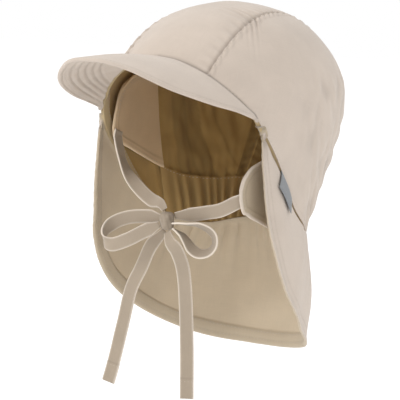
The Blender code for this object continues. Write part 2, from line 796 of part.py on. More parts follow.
def on_grid(grid, outward, place):
    """The spot of a grid level with a place, seen from the side, and the way out there."""
    best, found = 1e9, None
    rows, columns = grid.shape[:2]
    for r in range(rows - 1):
        for c in range(columns - 1):
            corners = [grid[r, c], grid[r, c + 1], grid[r + 1, c + 1], grid[r + 1, c]]
            outs = [outward[r, c], outward[r, c + 1], outward[r + 1, c + 1], outward[r + 1, c]]
            for picks in ((0, 1, 2), (0, 2, 3)):
                a, b, d = (corners[k][1:] for k in picks)
                matrix = np.array([b - a, d - a]).T
                if abs(np.linalg.det(matrix)) < 1e-12:
                    continue
                u, v = np.linalg.solve(matrix, place[1:] - a)
                miss = max(0, -u) + max(0, -v) + max(0, u + v - 1)
                if miss < best:
                    best = miss
                    weights = (1 - u - v, u, v)
                    found = (
                        sum(w * corners[k] for w, k in zip(weights, picks)),
                        unit(sum(w * outs[k] for w, k in zip(weights, picks))),
                    )
    return found


def main():
    for old in list(bpy.data.objects):
        bpy.data.objects.remove(old, do_unlink=True)
    beige = material("beige_cotton", (0.62, 0.52, 0.43), 0.85)
    inside = material("inner_cotton", (0.42, 0.33, 0.22), 0.9)
    tape = material("tie_cotton", (0.58, 0.50, 0.41), 0.85)
    grey = material("label_grey", (0.26, 0.27, 0.28), 0.7)
    crown(beige)
    facing(inside)
    casing(inside)
    peak(beige)
    flap, normals = neck_flap(beige)
    label(flap, normals, grey)
    ear_flap("ear_flap_left", 1, beige)
    ear_flap("ear_flap_right", -1, inside)
    tie_to_ear("tie_left", 1, LEFT_TIE, tape)
    tie_to_ear("tie_right", -1, RIGHT_TIE, tape)
    bow(tape)


main()
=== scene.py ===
"""Child's legionnaire cap in beige cotton, as it is cut, gathered and sewn.

Metres, +Z up. The peak faces -Y and the wearer's left is +X.
"""
import math

import bpy
import numpy as np
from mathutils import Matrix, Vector, noise


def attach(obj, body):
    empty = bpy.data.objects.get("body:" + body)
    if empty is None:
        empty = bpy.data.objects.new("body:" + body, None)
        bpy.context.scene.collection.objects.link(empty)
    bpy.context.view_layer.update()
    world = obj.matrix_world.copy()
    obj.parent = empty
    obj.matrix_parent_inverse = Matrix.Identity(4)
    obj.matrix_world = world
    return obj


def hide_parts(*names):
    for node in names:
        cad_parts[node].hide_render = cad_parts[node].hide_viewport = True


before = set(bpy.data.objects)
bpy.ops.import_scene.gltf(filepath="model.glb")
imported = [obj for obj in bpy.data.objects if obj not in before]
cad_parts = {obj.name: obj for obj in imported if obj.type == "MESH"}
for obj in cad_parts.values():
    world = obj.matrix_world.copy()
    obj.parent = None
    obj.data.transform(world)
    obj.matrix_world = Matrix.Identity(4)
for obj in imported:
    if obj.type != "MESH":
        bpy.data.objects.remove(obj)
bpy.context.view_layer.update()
bpy.ops.object.select_all(action="DESELECT")


# Camera: a long lens a little above the temples, ahead of the cap and to its left.
CAMERA_AZIMUTH = math.radians(36)
CAMERA_ELEVATION = math.radians(8.5)
CAMERA_DISTANCE = 1.30
CAMERA_LENS = 179.6
AIM = np.array([0.0, 0.03, -0.03])      # seen a little right of the frame's middle
AIM_RIGHT = -0.0034
AIM_UP = -0.0317

back = np.array([
    math.sin(CAMERA_AZIMUTH) * math.cos(CAMERA_ELEVATION),
    -math.cos(CAMERA_AZIMUTH) * math.cos(CAMERA_ELEVATION),
    math.sin(CAMERA_ELEVATION),
])
right = np.array([math.cos(CAMERA_AZIMUTH), math.sin(CAMERA_AZIMUTH), 0.0])
upright = np.cross(back, right)
place = AIM + right * AIM_RIGHT + upright * AIM_UP + back * CAMERA_DISTANCE
lens = bpy.data.cameras.new("camera")
lens.lens = CAMERA_LENS
lens.sensor_width = 36
lens.clip_start = 0.05
lens.clip_end = 20
camera = bpy.data.objects.new("camera", lens)
bpy.context.collection.objects.link(camera)
camera.location = Vector(place)
camera.rotation_euler = Vector(-back).to_track_quat("-Z", "Y").to_euler()
bpy.context.scene.camera = camera


# Studio: a white paper sweep and large soft lamps, high to the left and in front.
WHITE = (0.93, 0.93, 0.93)
FLOOR_LEVEL = -0.235
SWEEP_REACH = 3.0
SWEEP_HEIGHT = 2.4

bpy.ops.mesh.primitive_plane_add(size=2 * SWEEP_REACH, location=(0, 0, FLOOR_LEVEL))
floor = bpy.context.object
floor.name = "paper_floor"
bpy.ops.object.transform_apply(location=True, rotation=True, scale=True)
paper = bpy.data.materials.new("white_paper")
paper.use_nodes = True
paper.node_tree.nodes["Principled BSDF"].inputs["Base Color"].default_value = (*WHITE, 1)
paper.node_tree.nodes["Principled BSDF"].inputs["Roughness"].default_value = 0.9
paper.node_tree.nodes["Principled BSDF"].inputs["Emission Color"].default_value = (1, 1, 1, 1)
paper.node_tree.nodes["Principled BSDF"].inputs["Emission Strength"].default_value = 0.15
paper.node_tree.nodes["Principled BSDF"].inputs["Specular IOR Level"].default_value = 0.1
floor.data.materials.append(paper)
world = bpy.data.worlds.new("studio")
world.use_nodes = True
world.node_tree.nodes["Background"].inputs["Color"].default_value = (1, 1, 1, 1)
world.node_tree.nodes["Background"].inputs["Strength"].default_value = 1.0
bpy.context.scene.world = world


def soft_lamp(name, azimuth, elevation, distance, size, watts):
    """A square soft box that looks at the cap."""
    turn, lift = math.radians(azimuth), math.radians(elevation)
    way = Vector((
        math.sin(turn) * math.cos(lift), -math.cos(turn) * math.cos(lift), math.sin(lift),
    ))
    light = bpy.data.lights.new(name, "AREA")
    light.size = size
    light.energy = watts
    lamp = bpy.data.objects.new(name, light)
    bpy.context.collection.objects.link(lamp)
    lamp.location = way * distance
    lamp.rotation_euler = (-way).to_track_quat("-Z", "Y").to_euler()


soft_lamp("key_lamp", -40, 38, 1.6, 0.5, 9.0)
soft_lamp("side_lamp", 100, 35, 1.8, 1.0, 1.5)
bpy.context.scene.view_settings.view_transform = "Standard"
bpy.ops.object.select_all(action="DESELECT")


# Crown: three cotton panels, a centre strip from forehead to nape and a side panel either
# way, seamed, pressed to the side and topstitched. Elastic gathers the back of its rim.
HALF_WIDTH = 0.068
CROWN_FRONT = 0.084
CROWN_BACK = 0.093
TOP_SETBACK = 0.0535
WIDEST_LEVEL = 0.005
CROWN_TOP = 0.0663
FRONT_RISE = 0.0345
NAPE_DROP = 0.082
FRONT_SQUARENESS = 2.7
BACK_SQUARENESS = 2.2
PANEL_HALF_WIDTH = 0.0345
TUCK_CURVE = 1.7
CROWN_WALL = 0.0011
BEIGE = (0.555, 0.474, 0.404)
# Painted shade: the crown's inner face takes this darker brown, for the shade inside the crown.
INSIDE_SHADE_BROWN = (0.430, 0.280, 0.105)
PEAK_CORNER = 49.5          # where the peak ends on the rim, in degrees from the front
# angle from the front, height share, how far the rim is drawn in
RIM = [
    (0, 1.00, 0.000),
    (12, 0.94, 0.000),
    (20, 0.84, 0.000),
    (26, 0.73, 0.000),
    (33, 0.55, 0.000),
    (40, 0.32, -0.005),
    (46, 0.08, -0.020),
    (52, -0.12, -0.045),
    (65, -0.47, 0.015),
    (76, -0.73, 0.065),
    (90, -0.91, 0.105),
    (110, -1.05, 0.250),
    (130, -1.08, 0.390),
    (155, -1.04, 0.500),
    (180, -1.00, 0.549),
]
# share of the way back, half width share
PANEL_SEAM = [(0.0, 0.95), (0.15, 1.04), (0.35, 0.99), (0.6, 0.80), (1.0, 0.74)]


def smooth(table, x):
    """The table's columns at x, on one smooth curve through its rows."""
    keys = np.array([row[0] for row in table], float)
    values = np.array([row[1:] for row in table], float)
    slopes = np.gradient(values, keys, axis=0)
    x = np.clip(np.asarray(x, float), keys[0], keys[-1])
    i = np.clip(np.searchsorted(keys, x, "right") - 1, 0, len(keys) - 2)
    step = (keys[i + 1] - keys[i])[..., None]
    s = (x - keys[i])[..., None] / step
    return (
        values[i] * (2 * s**3 - 3 * s**2 + 1)
        + slopes[i] * step * (s**3 - 2 * s**2 + s)
        + values[i + 1] * (3 * s**2 - 2 * s**3)
        + slopes[i + 1] * step * (s**3 - s**2)
    )


def rim_height(degrees):
    share = smooth(RIM, np.abs(degrees))[..., 0]
    return share * np.where(share > 0, FRONT_RISE, NAPE_DROP)


def rim_lift(degrees):
    height = (rim_height(degrees) - WIDEST_LEVEL) / (CROWN_TOP - WIDEST_LEVEL)
    return np.where(height > 0, np.arcsin(np.clip(height, 0, 1)), height)


def crown_at(degrees, lift):
    """Points of the crown at angles from the front, from the rim's lift up to pi/2 on top."""
    degrees, lift = np.broadcast_arrays(np.asarray(degrees, float), np.asarray(lift, float))
    turn = np.radians(np.abs(degrees))
    side, ahead = np.sin(turn), np.cos(turn)
    reach = np.where(ahead > 0, CROWN_FRONT, CROWN_BACK)
    square = np.where(ahead > 0, FRONT_SQUARENESS, BACK_SQUARENESS)
    power = 2 + (square - 2) * (1 - np.sin(np.maximum(lift, 0))) ** 3
    round_it = (side / HALF_WIDTH) ** power + (np.abs(ahead) / reach) ** power
    radius = round_it ** (-1 / power)
    lowest = np.minimum(rim_lift(degrees), -1e-6)
    tuck = smooth(RIM, np.abs(degrees))[..., 1] * np.clip(lift / lowest, 0, 1.1) ** TUCK_CURVE
    share = np.where(lift < 0, 1 - tuck, np.cos(lift))
    rise = np.where(lift < 0, lift, np.sin(lift)) * (CROWN_TOP - WIDEST_LEVEL)
    x = np.sign(degrees + 1e-9) * radius * side * share
    return np.stack([x, TOP_SETBACK - radius * ahead * share, WIDEST_LEVEL + rise], axis=-1)


def rim_at(degrees):
    return crown_at(degrees, rim_lift(degrees))


def dome(p, q):
    """The crown laid out on a disc: its middle is the top and its edge is the rim."""
    degrees = np.degrees(np.arctan2(p, -q))
    low = rim_lift(degrees)
    lift = low + (1 - np.minimum(np.hypot(p, q), 1)) * (math.pi / 2 - low)
    return crown_at(degrees, lift), degrees, lift


def lengths(line):
    """How far along a line of points each one lies."""
    steps = np.linalg.norm(np.diff(line, axis=0), axis=1)
    return np.concatenate([[0.0], np.cumsum(steps)])


def resample(line, count):
    """count points evenly along a line of points."""
    reach = lengths(line)
    stops = np.linspace(0, reach[-1], count)
    return np.stack([np.interp(stops, reach, line[:, k]) for k in range(3)], axis=1)


def step(x, low, high):
    """0 below low and 1 above high, with a smooth rise between."""
    s = np.clip((x - low) / (high - low), 0, 1)
    return s * s * (3 - 2 * s)


def normals_of(grid):
    """Normals of a grid of points, from its neighbours."""
    down, across = np.gradient(grid, axis=0), np.gradient(grid, axis=1)
    normal = np.cross(across, down)
    length = np.linalg.norm(normal, axis=2, keepdims=True)
    normal = normal / np.maximum(length, 1e-12)
    weak = length[..., 0] < 1e-10
    if weak.any():
        normal[weak] = normal[~weak].mean(axis=0)
    return normal


def rumple(grid, scale, seed):
    """Soft unevenness from -1 to 1, at the given size in metres."""
    flat = grid.reshape(-1, 3)
    values = [noise.noise(Vector(p / scale) + Vector((seed, 3.1 * seed, 7.7))) for p in flat]
    return np.array(values).reshape(grid.shape[:2])


def build(name, vertices, faces, finish, uv=None, crease=None):
    """A mesh object from points and faces, with its cloth layout and its painted shade in creases if it has them.
    """
    mesh = bpy.data.meshes.new(name)
    mesh.from_pydata(np.asarray(vertices).tolist(), [], faces)
    volume = 0.0
    points = np.asarray(vertices)
    mesh.calc_loop_triangles()
    corners = np.array([list(t.vertices) for t in mesh.loop_triangles])
    a, b, c = points[corners[:, 0]], points[corners[:, 1]], points[corners[:, 2]]
    volume = float(np.einsum("ij,ij->i", a, np.cross(b, c)).sum())
    if volume < 0:
        mesh.flip_normals()
    used = np.empty(len(mesh.loops), dtype=np.int32)
    mesh.loops.foreach_get("vertex_index", used)
    if uv is not None:
        layer = mesh.uv_layers.new(name="cloth")
        layer.data.foreach_set("uv", np.asarray(uv)[used].ravel().astype(np.float32))
    if crease is not None:
        mark = mesh.attributes.new("crease", "FLOAT", "POINT")
        mark.data.foreach_set("value", np.asarray(crease).astype(np.float32))
    mesh.materials.append(finish)
    mesh.shade_smooth()
    mesh.set_sharp_from_angle(angle=math.radians(55))
    piece = bpy.data.objects.new(name, mesh)
    bpy.context.collection.objects.link(piece)
    return piece


def cloth(name, outer, inner, finish, closed=False, crease=None, under=None):
    """A sewn wall between two grids of points, with how much painted shade each face takes in its creases, under
    being that of the inner face.
    """
    rows, columns = outer.shape[:2]
    size = rows * columns
    vertices = np.concatenate([outer.reshape(-1, 3), inner.reshape(-1, 3)])
    index = np.arange(size).reshape(rows, columns)
    ahead = np.roll(index, -1, axis=1) if closed else index[:, 1:]
    here = index if closed else index[:, :-1]
    quads = np.stack([here[:-1], ahead[:-1], ahead[1:], here[1:]], axis=-1).reshape(-1, 4)
    faces = quads.tolist() + (quads[:, ::-1] + size).tolist()
    sides = [np.stack([ahead[0], here[0]], axis=-1), np.stack([here[-1], ahead[-1]], axis=-1)]
    if not closed:
        sides.append(np.stack([index[:-1, 0], index[1:, 0]], axis=-1))
        sides.append(np.stack([index[1:, -1], index[:-1, -1]], axis=-1))
    for pair in sides:
        border = np.stack([pair[:, 0], pair[:, 1], pair[:, 1] + size, pair[:, 0] + size], axis=-1)
        faces += border.tolist()
    across = np.linalg.norm(np.diff(outer, axis=1), axis=2)
    down = np.linalg.norm(np.diff(outer, axis=0), axis=2)
    u = np.concatenate([np.zeros((rows, 1)), np.cumsum(across, axis=1)], axis=1)
    u -= u[:, columns // 2:columns // 2 + 1]
    v = np.concatenate([np.zeros((1, columns)), np.cumsum(down, axis=0)], axis=0)
    uv = np.stack([u, v], axis=-1).reshape(-1, 2)
    if crease is None:
        crease = np.zeros((rows, columns))
    both = np.concatenate([crease.ravel(), (crease if under is None else under).ravel()])
    return build(name, vertices, faces, finish, np.concatenate([uv, uv]), both)


def stitching(name, line, out, finish, pitch=0.0026, long=0.0017, thick=0.00042, sink=0.00003):
    """A row of lockstitches along a line of points on cloth, out being the way off it."""
    reach = lengths(line)
    count = max(2, int(reach[-1] / pitch))
    vertices, faces = [], []
    for i in range(count):
        where = (i + 0.5) / count * reach[-1]
        at = np.array([np.interp(where, reach, line[:, k]) for k in range(3)])
        ahead = np.array([np.interp(where + 0.0006, reach, line[:, k]) for k in range(3)])
        off = np.array([np.interp(where, reach, out[:, k]) for k in range(3)])
        run = ahead - at
        if np.linalg.norm(run) < 1e-9:
            continue
        run = run / np.linalg.norm(run)
        off = off - run * np.dot(off, run)
        off = off / max(np.linalg.norm(off), 1e-9)
        beside = np.cross(run, off)
        first = len(vertices)
        vertices.append(at - run * long / 2 - off * thick * 0.5)
        for place_along in (-0.27, 0.27):
            for corner in range(5):
                turn = 2 * math.pi * corner / 5
                vertices.append(
                    at + run * long * place_along - off * sink
                    + (beside * math.cos(turn) + off * (math.sin(turn) * 0.8)) * thick / 2
                )
        vertices.append(at + run * long / 2 - off * thick * 0.5)
        for corner in range(5):
            after = (corner + 1) % 5
            faces.append((first, first + 1 + after, first + 1 + corner))
            faces.append((first + 1 + corner, first + 1 + after, first + 6 + after, first + 6 + corner))
            faces.append((first + 6 + corner, first + 6 + after, first + 11))
    return build(name, vertices, faces, finish)


class Value:
    """One output of a shader node. Arithmetic on it adds Math nodes."""

    def __init__(self, tree, socket=None):
        self.tree = tree
        self.socket = socket

    def node(self, kind, settings=None, inputs=None, output=0):
        """Any other node: its settings first, then the values or links of its sockets."""
        made = self.tree.nodes.new(kind)
        for key, value in (settings or {}).items():
            if key == "stops":
                ramp = made.color_ramp
                for place, colour in value[2:]:
                    ramp.elements.new(place)
                for element, (place, colour) in zip(ramp.elements, sorted(value)):
                    element.position = place
                    element.color = (*colour, 1)
            else:
                setattr(made, key, value)
        for key, value in (inputs or {}).items():
            if isinstance(value, Value):
                self.tree.links.new(value.socket, made.inputs[key])
            else:
                made.inputs[key].default_value = value
        return Value(self.tree, made.outputs[output])

    def maths(self, operation, *values):
        return self.node("ShaderNodeMath", {"operation": operation}, dict(enumerate(values)))

    def __add__(self, other):
        return self.maths("ADD", self, other)

    def __radd__(self, other):
        return self.maths("ADD", other, self)

    def __sub__(self, other):
        return self.maths("SUBTRACT", self, other)

    def __rsub__(self, other):
        return self.maths("SUBTRACT", other, self)

    def __mul__(self, other):
        return self.maths("MULTIPLY", self, other)

    def __rmul__(self, other):
        return self.maths("MULTIPLY", other, self)


YARN = 0.00046              # from one warp thread to the next
# The colour runs from its darkest share, reached by mottling and by painted shade in creases, to its lightest
# share.
LIGHTEST_TONE = 1.10
DARK_MOTTLE_AND_SHADE = 0.62


def cotton(name, colour, inside=None, sheen=0.25, yarn=YARN, depth=0.00012):
    """Plain woven cotton: threads over and under, slubs, faint mottling, painted shade in creases and hollows, and
    a second colour at marked points (painted shade on inner faces, painted highlights along edges).
    """
    made = bpy.data.materials.new(name)
    made.use_nodes = True
    tree = made.node_tree
    shader = tree.nodes["Principled BSDF"]
    start = Value(tree)
    layout = start.node("ShaderNodeUVMap", {"uv_map": "cloth"})
    parts = tree.nodes.new("ShaderNodeSeparateXYZ")
    tree.links.new(layout.socket, parts.inputs[0])
    u, v = Value(tree, parts.outputs[0]), Value(tree, parts.outputs[1])
    solid = start.node("ShaderNodeTexCoord", output=3)
    warp = (u * (2 * math.pi / yarn)).maths("SINE", u * (2 * math.pi / yarn))
    weft = v.maths("SINE", v * (2 * math.pi / yarn))
    weave = warp * weft
    long_slubs = start.node("ShaderNodeCombineXYZ", inputs={0: u * 2600.0, 1: v * 90.0})
    cross_slubs = start.node("ShaderNodeCombineXYZ", inputs={0: u * 90.0, 1: v * 2600.0})
    slub = start.node("ShaderNodeTexNoise", inputs={"Vector": long_slubs, "Scale": 1.0, "Detail": 1.0})
    slub = slub + start.node(
        "ShaderNodeTexNoise", inputs={"Vector": cross_slubs, "Scale": 1.0, "Detail": 1.0},
    )
    mottle = start.node("ShaderNodeTexNoise", inputs={"Vector": solid, "Scale": 55.0, "Detail": 3.0})
    # This attribute darkens the cloth in its creases and hollows: painted shade.
    crease = start.node("ShaderNodeAttribute", {"attribute_name": "crease"}, output=2)
    tone = 0.80 + (slub - 1.0) * 0.18 + (mottle - 0.5) * 0.34 + weave * 0.04 - crease
    light = tuple(min(1.0, c * LIGHTEST_TONE) for c in colour)
    dark = tuple(c * DARK_MOTTLE_AND_SHADE for c in colour)
    paint = start.node("ShaderNodeMix", {"data_type": "RGBA", "clamp_factor": True}, {
        0: tone, 6: (*dark, 1), 7: (*light, 1),
    }, output=2)
    # The marked points take a second colour: painted shade on inner faces, painted highlights along edges.
    if inside is not None:
        facing = start.node("ShaderNodeAttribute", {"attribute_name": "inner"}, output=2)
        painted_light_paint = start.node("ShaderNodeMix", {"data_type": "RGBA", "clamp_factor": True}, {
            0: tone, 6: (*(c * DARK_MOTTLE_AND_SHADE for c in inside), 1),
            7: (*(min(1.0, c * LIGHTEST_TONE) for c in inside), 1),
        }, output=2)
        paint = start.node("ShaderNodeMix", {"data_type": "RGBA", "clamp_factor": True}, {
            0: facing, 6: paint, 7: painted_light_paint,
        }, output=2)
    tree.links.new(paint.socket, shader.inputs["Base Color"])
    rough = 0.86 + (mottle - 0.5) * 0.12
    tree.links.new(rough.socket, shader.inputs["Roughness"])
    height = weave * 0.35 + slub * 0.8
    bump = start.node("ShaderNodeBump", inputs={
        "Strength": 0.55, "Distance": depth, "Height": height,
    })
    tree.links.new(bump.socket, shader.inputs["Normal"])
    shader.inputs["Sheen Weight"].default_value = sheen
    shader.inputs["Sheen Roughness"].default_value = 0.45
    shader.inputs["Specular IOR Level"].default_value = 0.2
    return made


SEAM_SAMPLES = 240
PANEL_ROWS = 210
# distances from a panel's seam edge, in metres, before the columns spread out
EDGE_COLUMNS = [0.0, 0.0005, 0.0010, 0.0016, 0.0023, 0.0031, 0.0042, 0.0056, 0.0072]
CENTRE_COLUMNS = 46
SIDE_COLUMNS = 84
SEAM_GROOVE = 0.0009
SEAM_RIDGE = 0.00035
PINCH_AT = 0.060            # a pinch in the left seam, along it from the forehead
GATHER_PITCH = 0.0095
GATHER_HEIGHT = 0.0011

beige_cotton = cotton("beige_cotton", BEIGE, inside=INSIDE_SHADE_BROWN)


def seam_on_disc():
    """The left panel seam on the crown's disc, evenly spaced along the real seam."""
    span = CROWN_FRONT + CROWN_BACK

    def excess(turn, rho):
        point = dome(rho * np.sin(turn), -rho * np.cos(turn))[0]
        share = (point[..., 1] - (TOP_SETBACK - CROWN_FRONT)) / span
        return point[..., 0] - smooth(PANEL_SEAM, share)[..., 0] * PANEL_HALF_WIDTH

    def root(low, high, over):
        for _ in range(40):
            middle = (low + high) / 2
            beyond = over(middle) > 0
            low, high = np.where(beyond, low, middle), np.where(beyond, middle, high)
        return (low + high) / 2

    side = math.pi / 2
    nearest = float(root(np.array(0.0), np.array(1.0), lambda rho: excess(np.array(side), rho)))
    rho = nearest + (1 - nearest) * np.linspace(0, 1, SEAM_SAMPLES) ** 2
    ahead = root(np.zeros_like(rho), np.full_like(rho, side), lambda turn: excess(turn, rho))
    behind = root(np.full_like(rho, math.pi), np.full_like(rho, side), lambda turn: excess(turn, rho))
    turn = np.concatenate([ahead[::-1], behind[1:]])
    rho = np.concatenate([rho[::-1], rho[1:]])
    p, q = rho * np.sin(turn), -rho * np.cos(turn)
    reach = lengths(dome(p, q)[0])
    stops = np.linspace(0, reach[-1], PANEL_ROWS)
    return np.interp(stops, reach, p), np.interp(stops, reach, q), stops


def gathers(degrees, lift, points):
    """Uneven upright folds over the elastic, fading up the back of the crown."""
    drop = points[..., 2] - rim_height(degrees)
    fade = 1 - step(drop, 0.004, 0.062)
    round_back = step(np.abs(degrees), 84, 112)
    along_rim = np.radians(degrees) * 0.062
    wander = 1.3 * np.sin(along_rim / 0.021) + 0.9 * np.sin(along_rim / 0.0093 + drop / 0.030)
    fold = np.cos(2 * math.pi * along_rim / GATHER_PITCH + wander)
    fine = np.cos(2 * math.pi * along_rim / (0.57 * GATHER_PITCH) - 1.4 * wander)
    return round_back * fade * (fold + 0.4 * fine)


def crown_relief(points, degrees, lift, edge, run, is_side):
    """How far the cloth stands off its plain shape, and how much painted shade it takes in its creases and
    hollows.
    """
    groove = np.exp(-((edge / 0.0011) ** 2))
    ridge = step(edge, 0.0008, 0.0020) * (1 - step(edge, 0.0058, 0.0076)) * is_side
    tight = np.exp(-(((edge - 0.0018) / 0.0052) ** 2))
    ripple = np.sin(2 * math.pi * run / 0.0079 + 1.9 * np.sin(run / 0.0131))
    pinch = np.exp(-(((run - PINCH_AT) / 0.0085) ** 2)) * np.exp(-edge / 0.012) * (points[..., 0] > 0)
    pinch_wave = np.sin(2 * math.pi * (run - PINCH_AT) / 0.0062)
    folds = gathers(degrees, lift, points)
    soft = rumple(points, 0.038, 4.0) * 0.55 + rumple(points, 0.017, 9.0) * 0.25
    low_back = step(np.abs(degrees), 70, 110) * (1 - step(points[..., 2], 0.000, 0.034))
    crossing = rumple(points * np.array([1.6, 1.6, 0.7]), 0.011, 2.0)
    relief = (
        -SEAM_GROOVE * groove
        + SEAM_RIDGE * ridge
        + 0.00042 * tight * ripple
        + 0.00120 * pinch * pinch_wave
        + GATHER_HEIGHT * folds * 0.85
        + 0.00135 * soft
        + 0.00165 * low_back * crossing
    )
    # Painted shade: darker in the seam grooves, in a line along the front rim under the peak's root, and in the
    # troughs of the ripples, pinches, gathers, dents and rumples.
    front_rim = np.exp(-(((points[..., 2] - rim_height(degrees)) / 0.0011) ** 2)) * (np.abs(degrees) < PEAK_CORNER)
    crease = (
        0.40 * groove
        + 1.20 * front_rim
        + 0.14 * tight * np.maximum(-ripple, 0)
        + 0.40 * pinch * np.maximum(-pinch_wave, 0)
        + 0.15 * np.maximum(-folds, 0)
        + 0.60 * low_back * np.maximum(-crossing, 0)
        + 0.12 * np.maximum(-soft, 0)
    )
    return relief, crease


def crown_panel(name, p, q, edge, run, is_side):
    """One panel: its outer face with relief, its inner face a wall's thickness in."""
    plain, degrees, lift = dome(p, q)
    normal = normals_of(plain)
    centre = np.array([0, TOP_SETBACK, 0])
    if np.sum(normal * (plain - centre)) < 0:
        normal = -normal
    relief, crease = crown_relief(plain, degrees, lift, edge, run, is_side)
    outer = plain + normal * (relief[..., None] - 0.0001)
    inner = outer - normal * CROWN_WALL
    rolled = 1 - 0.55 * np.exp(-edge / 0.0005)
    inner = outer + (inner - outer) * rolled[..., None]
    # Painted shade on the inner face: darker over the seam allowances, in a band across each side, along two thin
    # lines, and in its creases.
    allowance = step(edge, 0.0003, 0.0010) * (1 - step(edge, 0.0078, 0.0086))
    behind = outer[..., 1] + 0.0015 * rumple(outer, 0.016, 51.0)
    side_shade_band = step(behind, 0.0790, 0.0802) * (1 - step(behind, 0.1010, 0.1022)) * (np.abs(outer[..., 0]) > 0.030)
    pressed = np.exp(-(((behind - 0.1130) / 0.0009) ** 2)) + np.exp(-(((behind - 0.0905) / 0.0008) ** 2))
    under = 0.75 * allowance + 0.55 * side_shade_band + 0.35 * pressed + 0.3 * np.maximum(crease, 0)
    piece = cloth(name, outer, inner, beige_cotton, crease=crease, under=under)
    half = outer.shape[0] * outer.shape[1]
    mark_painted_light(piece, np.arange(2 * half) >= half)
    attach(piece, "root")
    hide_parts(name)
    return piece, outer, normal


def mark_painted_light(piece, marked):
    """Marks the points of a wall that take its second colour: painted shade on inner faces, painted highlights
    along edges.
    """
    mark = piece.data.attributes.new("inner", "FLOAT", "POINT")
    mark.data.foreach_set("value", np.asarray(marked, dtype=np.float32).ravel())


seam_p, seam_q, seam_run = seam_on_disc()
wide = seam_p.max() * 1.0
half_width = np.array([lengths(dome(np.linspace(0, p, 12), np.full(12, q))[0])[-1]
                       for p, q in zip(seam_p, seam_q)])
rows, across = [], []
inner_stops = np.array(EDGE_COLUMNS)
for p, q, w in zip(seam_p, seam_q, half_width):
    near = w - inner_stops
    rest = np.linspace(0, near[-1], CENTRE_COLUMNS // 2)
    half = np.concatenate([rest[:-1], near[::-1]]) / w
    across.append(np.concatenate([-half[:0:-1], half]))
share = np.array(across)
forward = (np.arange(PANEL_ROWS) / (PANEL_ROWS - 1))[:, None]
panel_p = share * seam_p[:, None]
front_arc = -np.sqrt(1 - (share * seam_p[0]) ** 2) - seam_q[0]
back_arc = np.sqrt(1 - (share * seam_p[-1]) ** 2) - seam_q[-1]
panel_q = seam_q[:, None] + front_arc * (1 - forward) ** 3 + back_arc * forward ** 3
edge = (1 - np.abs(share)) * half_width[:, None]
run = np.repeat(seam_run[:, None], share.shape[1], axis=1)
centre_panel, centre_outer, centre_normal = crown_panel(
    "crown_centre_panel", panel_p, panel_q, edge, run, 0.0,
)

front_turn = math.atan2(seam_p[0], -seam_q[0])
back_turn = math.atan2(seam_p[-1], -seam_q[-1])
turns = front_turn + (back_turn - front_turn) * forward[:, 0] ** 1.0
side_p, side_q, side_edge = [], [], []
for k, turn in enumerate(turns):
    ends = np.array([seam_p[k], seam_q[k]]), np.array([math.sin(turn), -math.cos(turn)])
    fine = np.linspace(0, 1, 40)
    path = ends[0] + (ends[1] - ends[0]) * fine[:, None]
    reach = lengths(dome(path[:, 0], path[:, 1])[0])
    long = max(reach[-1], 1e-6)
    near = np.array(EDGE_COLUMNS) * min(1.0, 0.5 * long / EDGE_COLUMNS[-1])
    stops = np.concatenate([near, np.linspace(near[-1], long, SIDE_COLUMNS)[1:]])
    where = np.interp(stops, reach, fine)
    side_p.append(ends[0][0] + (ends[1][0] - ends[0][0]) * where)
    side_q.append(ends[0][1] + (ends[1][1] - ends[0][1]) * where)
    side_edge.append(stops)
side_p, side_q, side_edge = np.array(side_p), np.array(side_q), np.array(side_edge)
run = np.repeat(seam_run[:, None], side_p.shape[1], axis=1)
side_panels = {}
for side, word in ((1, "left"), (-1, "right")):
    piece, outer, normal = crown_panel(
        f"crown_side_panel_{word}", side * side_p, side_q, side_edge, run, 1.0,
    )
    side_panels[side] = (outer, normal)


# Crown seams: each is topstitched on the side panel, over the allowance pressed under it.
STITCH_BEIGE = (0.50, 0.42, 0.34)
THREAD_SHINE = 0.55
stitch_thread = bpy.data.materials.new("stitch_thread")
stitch_thread.use_nodes = True
tree = stitch_thread.node_tree
start = Value(tree)
solid = start.node("ShaderNodeTexCoord", output=3)
twist = start.node("ShaderNodeTexNoise", inputs={"Vector": solid, "Scale": 1400.0, "Detail": 1.0})
tone = start.node("ShaderNodeMix", {"data_type": "RGBA"}, {
    0: twist, 6: (*(c * 0.78 for c in STITCH_BEIGE), 1), 7: (*(c * 1.15 for c in STITCH_BEIGE), 1),
}, output=2)
tree.links.new(tone.socket, tree.nodes["Principled BSDF"].inputs["Base Color"])
tree.nodes["Principled BSDF"].inputs["Roughness"].default_value = THREAD_SHINE


def sewn(name, line, out, **sizes):
    """A stitched row that rides with the cap."""
    row = stitching(name, np.asarray(line), np.asarray(out), stitch_thread, **sizes)
    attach(row, "root")
    return row


for side, word in ((1, "left"), (-1, "right")):
    outer, normal = side_panels[side]
    column = EDGE_COLUMNS.index(0.0023)
    keep = slice(4, -4)
    sewn(f"crown_seam_stitches_{word}", outer[keep, column], normal[keep, column])
    rim_keep = slice(16, -16)
    sewn(f"crown_rim_stitches_{word}", outer[rim_keep, -3], normal[rim_keep, -3])


# Peak: two layers of cotton over a stiff board, edge-stitched, with rows of quilting that
# show on its underside. Its root is sewn into the rim between the temples.
PEAK_LENGTH = 0.071
PEAK_HALF_WIDTH = 0.0645
PEAK_TILT = 0.004
PEAK_WALL = 0.0024
PEAK_CAMBER = 0.0022
PEAK_ROWS = 64
PEAK_COLUMNS = 121
PEAK_STITCH_INSET = 0.0032
QUILT_ROWS = (0.0105, 0.0170, 0.0235, 0.0300, 0.0365)
# half width, length and drop shares, from the middle to the corner at the temple
PEAK_EDGE = [
    (0.00, 1.000, 0.000),
    (0.14, 0.990, 0.010),
    (0.28, 0.955, 0.065),
    (0.42, 0.880, 0.170),
    (0.56, 0.785, 0.330),
    (0.68, 0.660, 0.500),
    (0.79, 0.500, 0.660),
    (0.88, 0.330, 0.820),
    (0.95, 0.180, 0.960),
    (0.975, 0.040, 1.170),
]

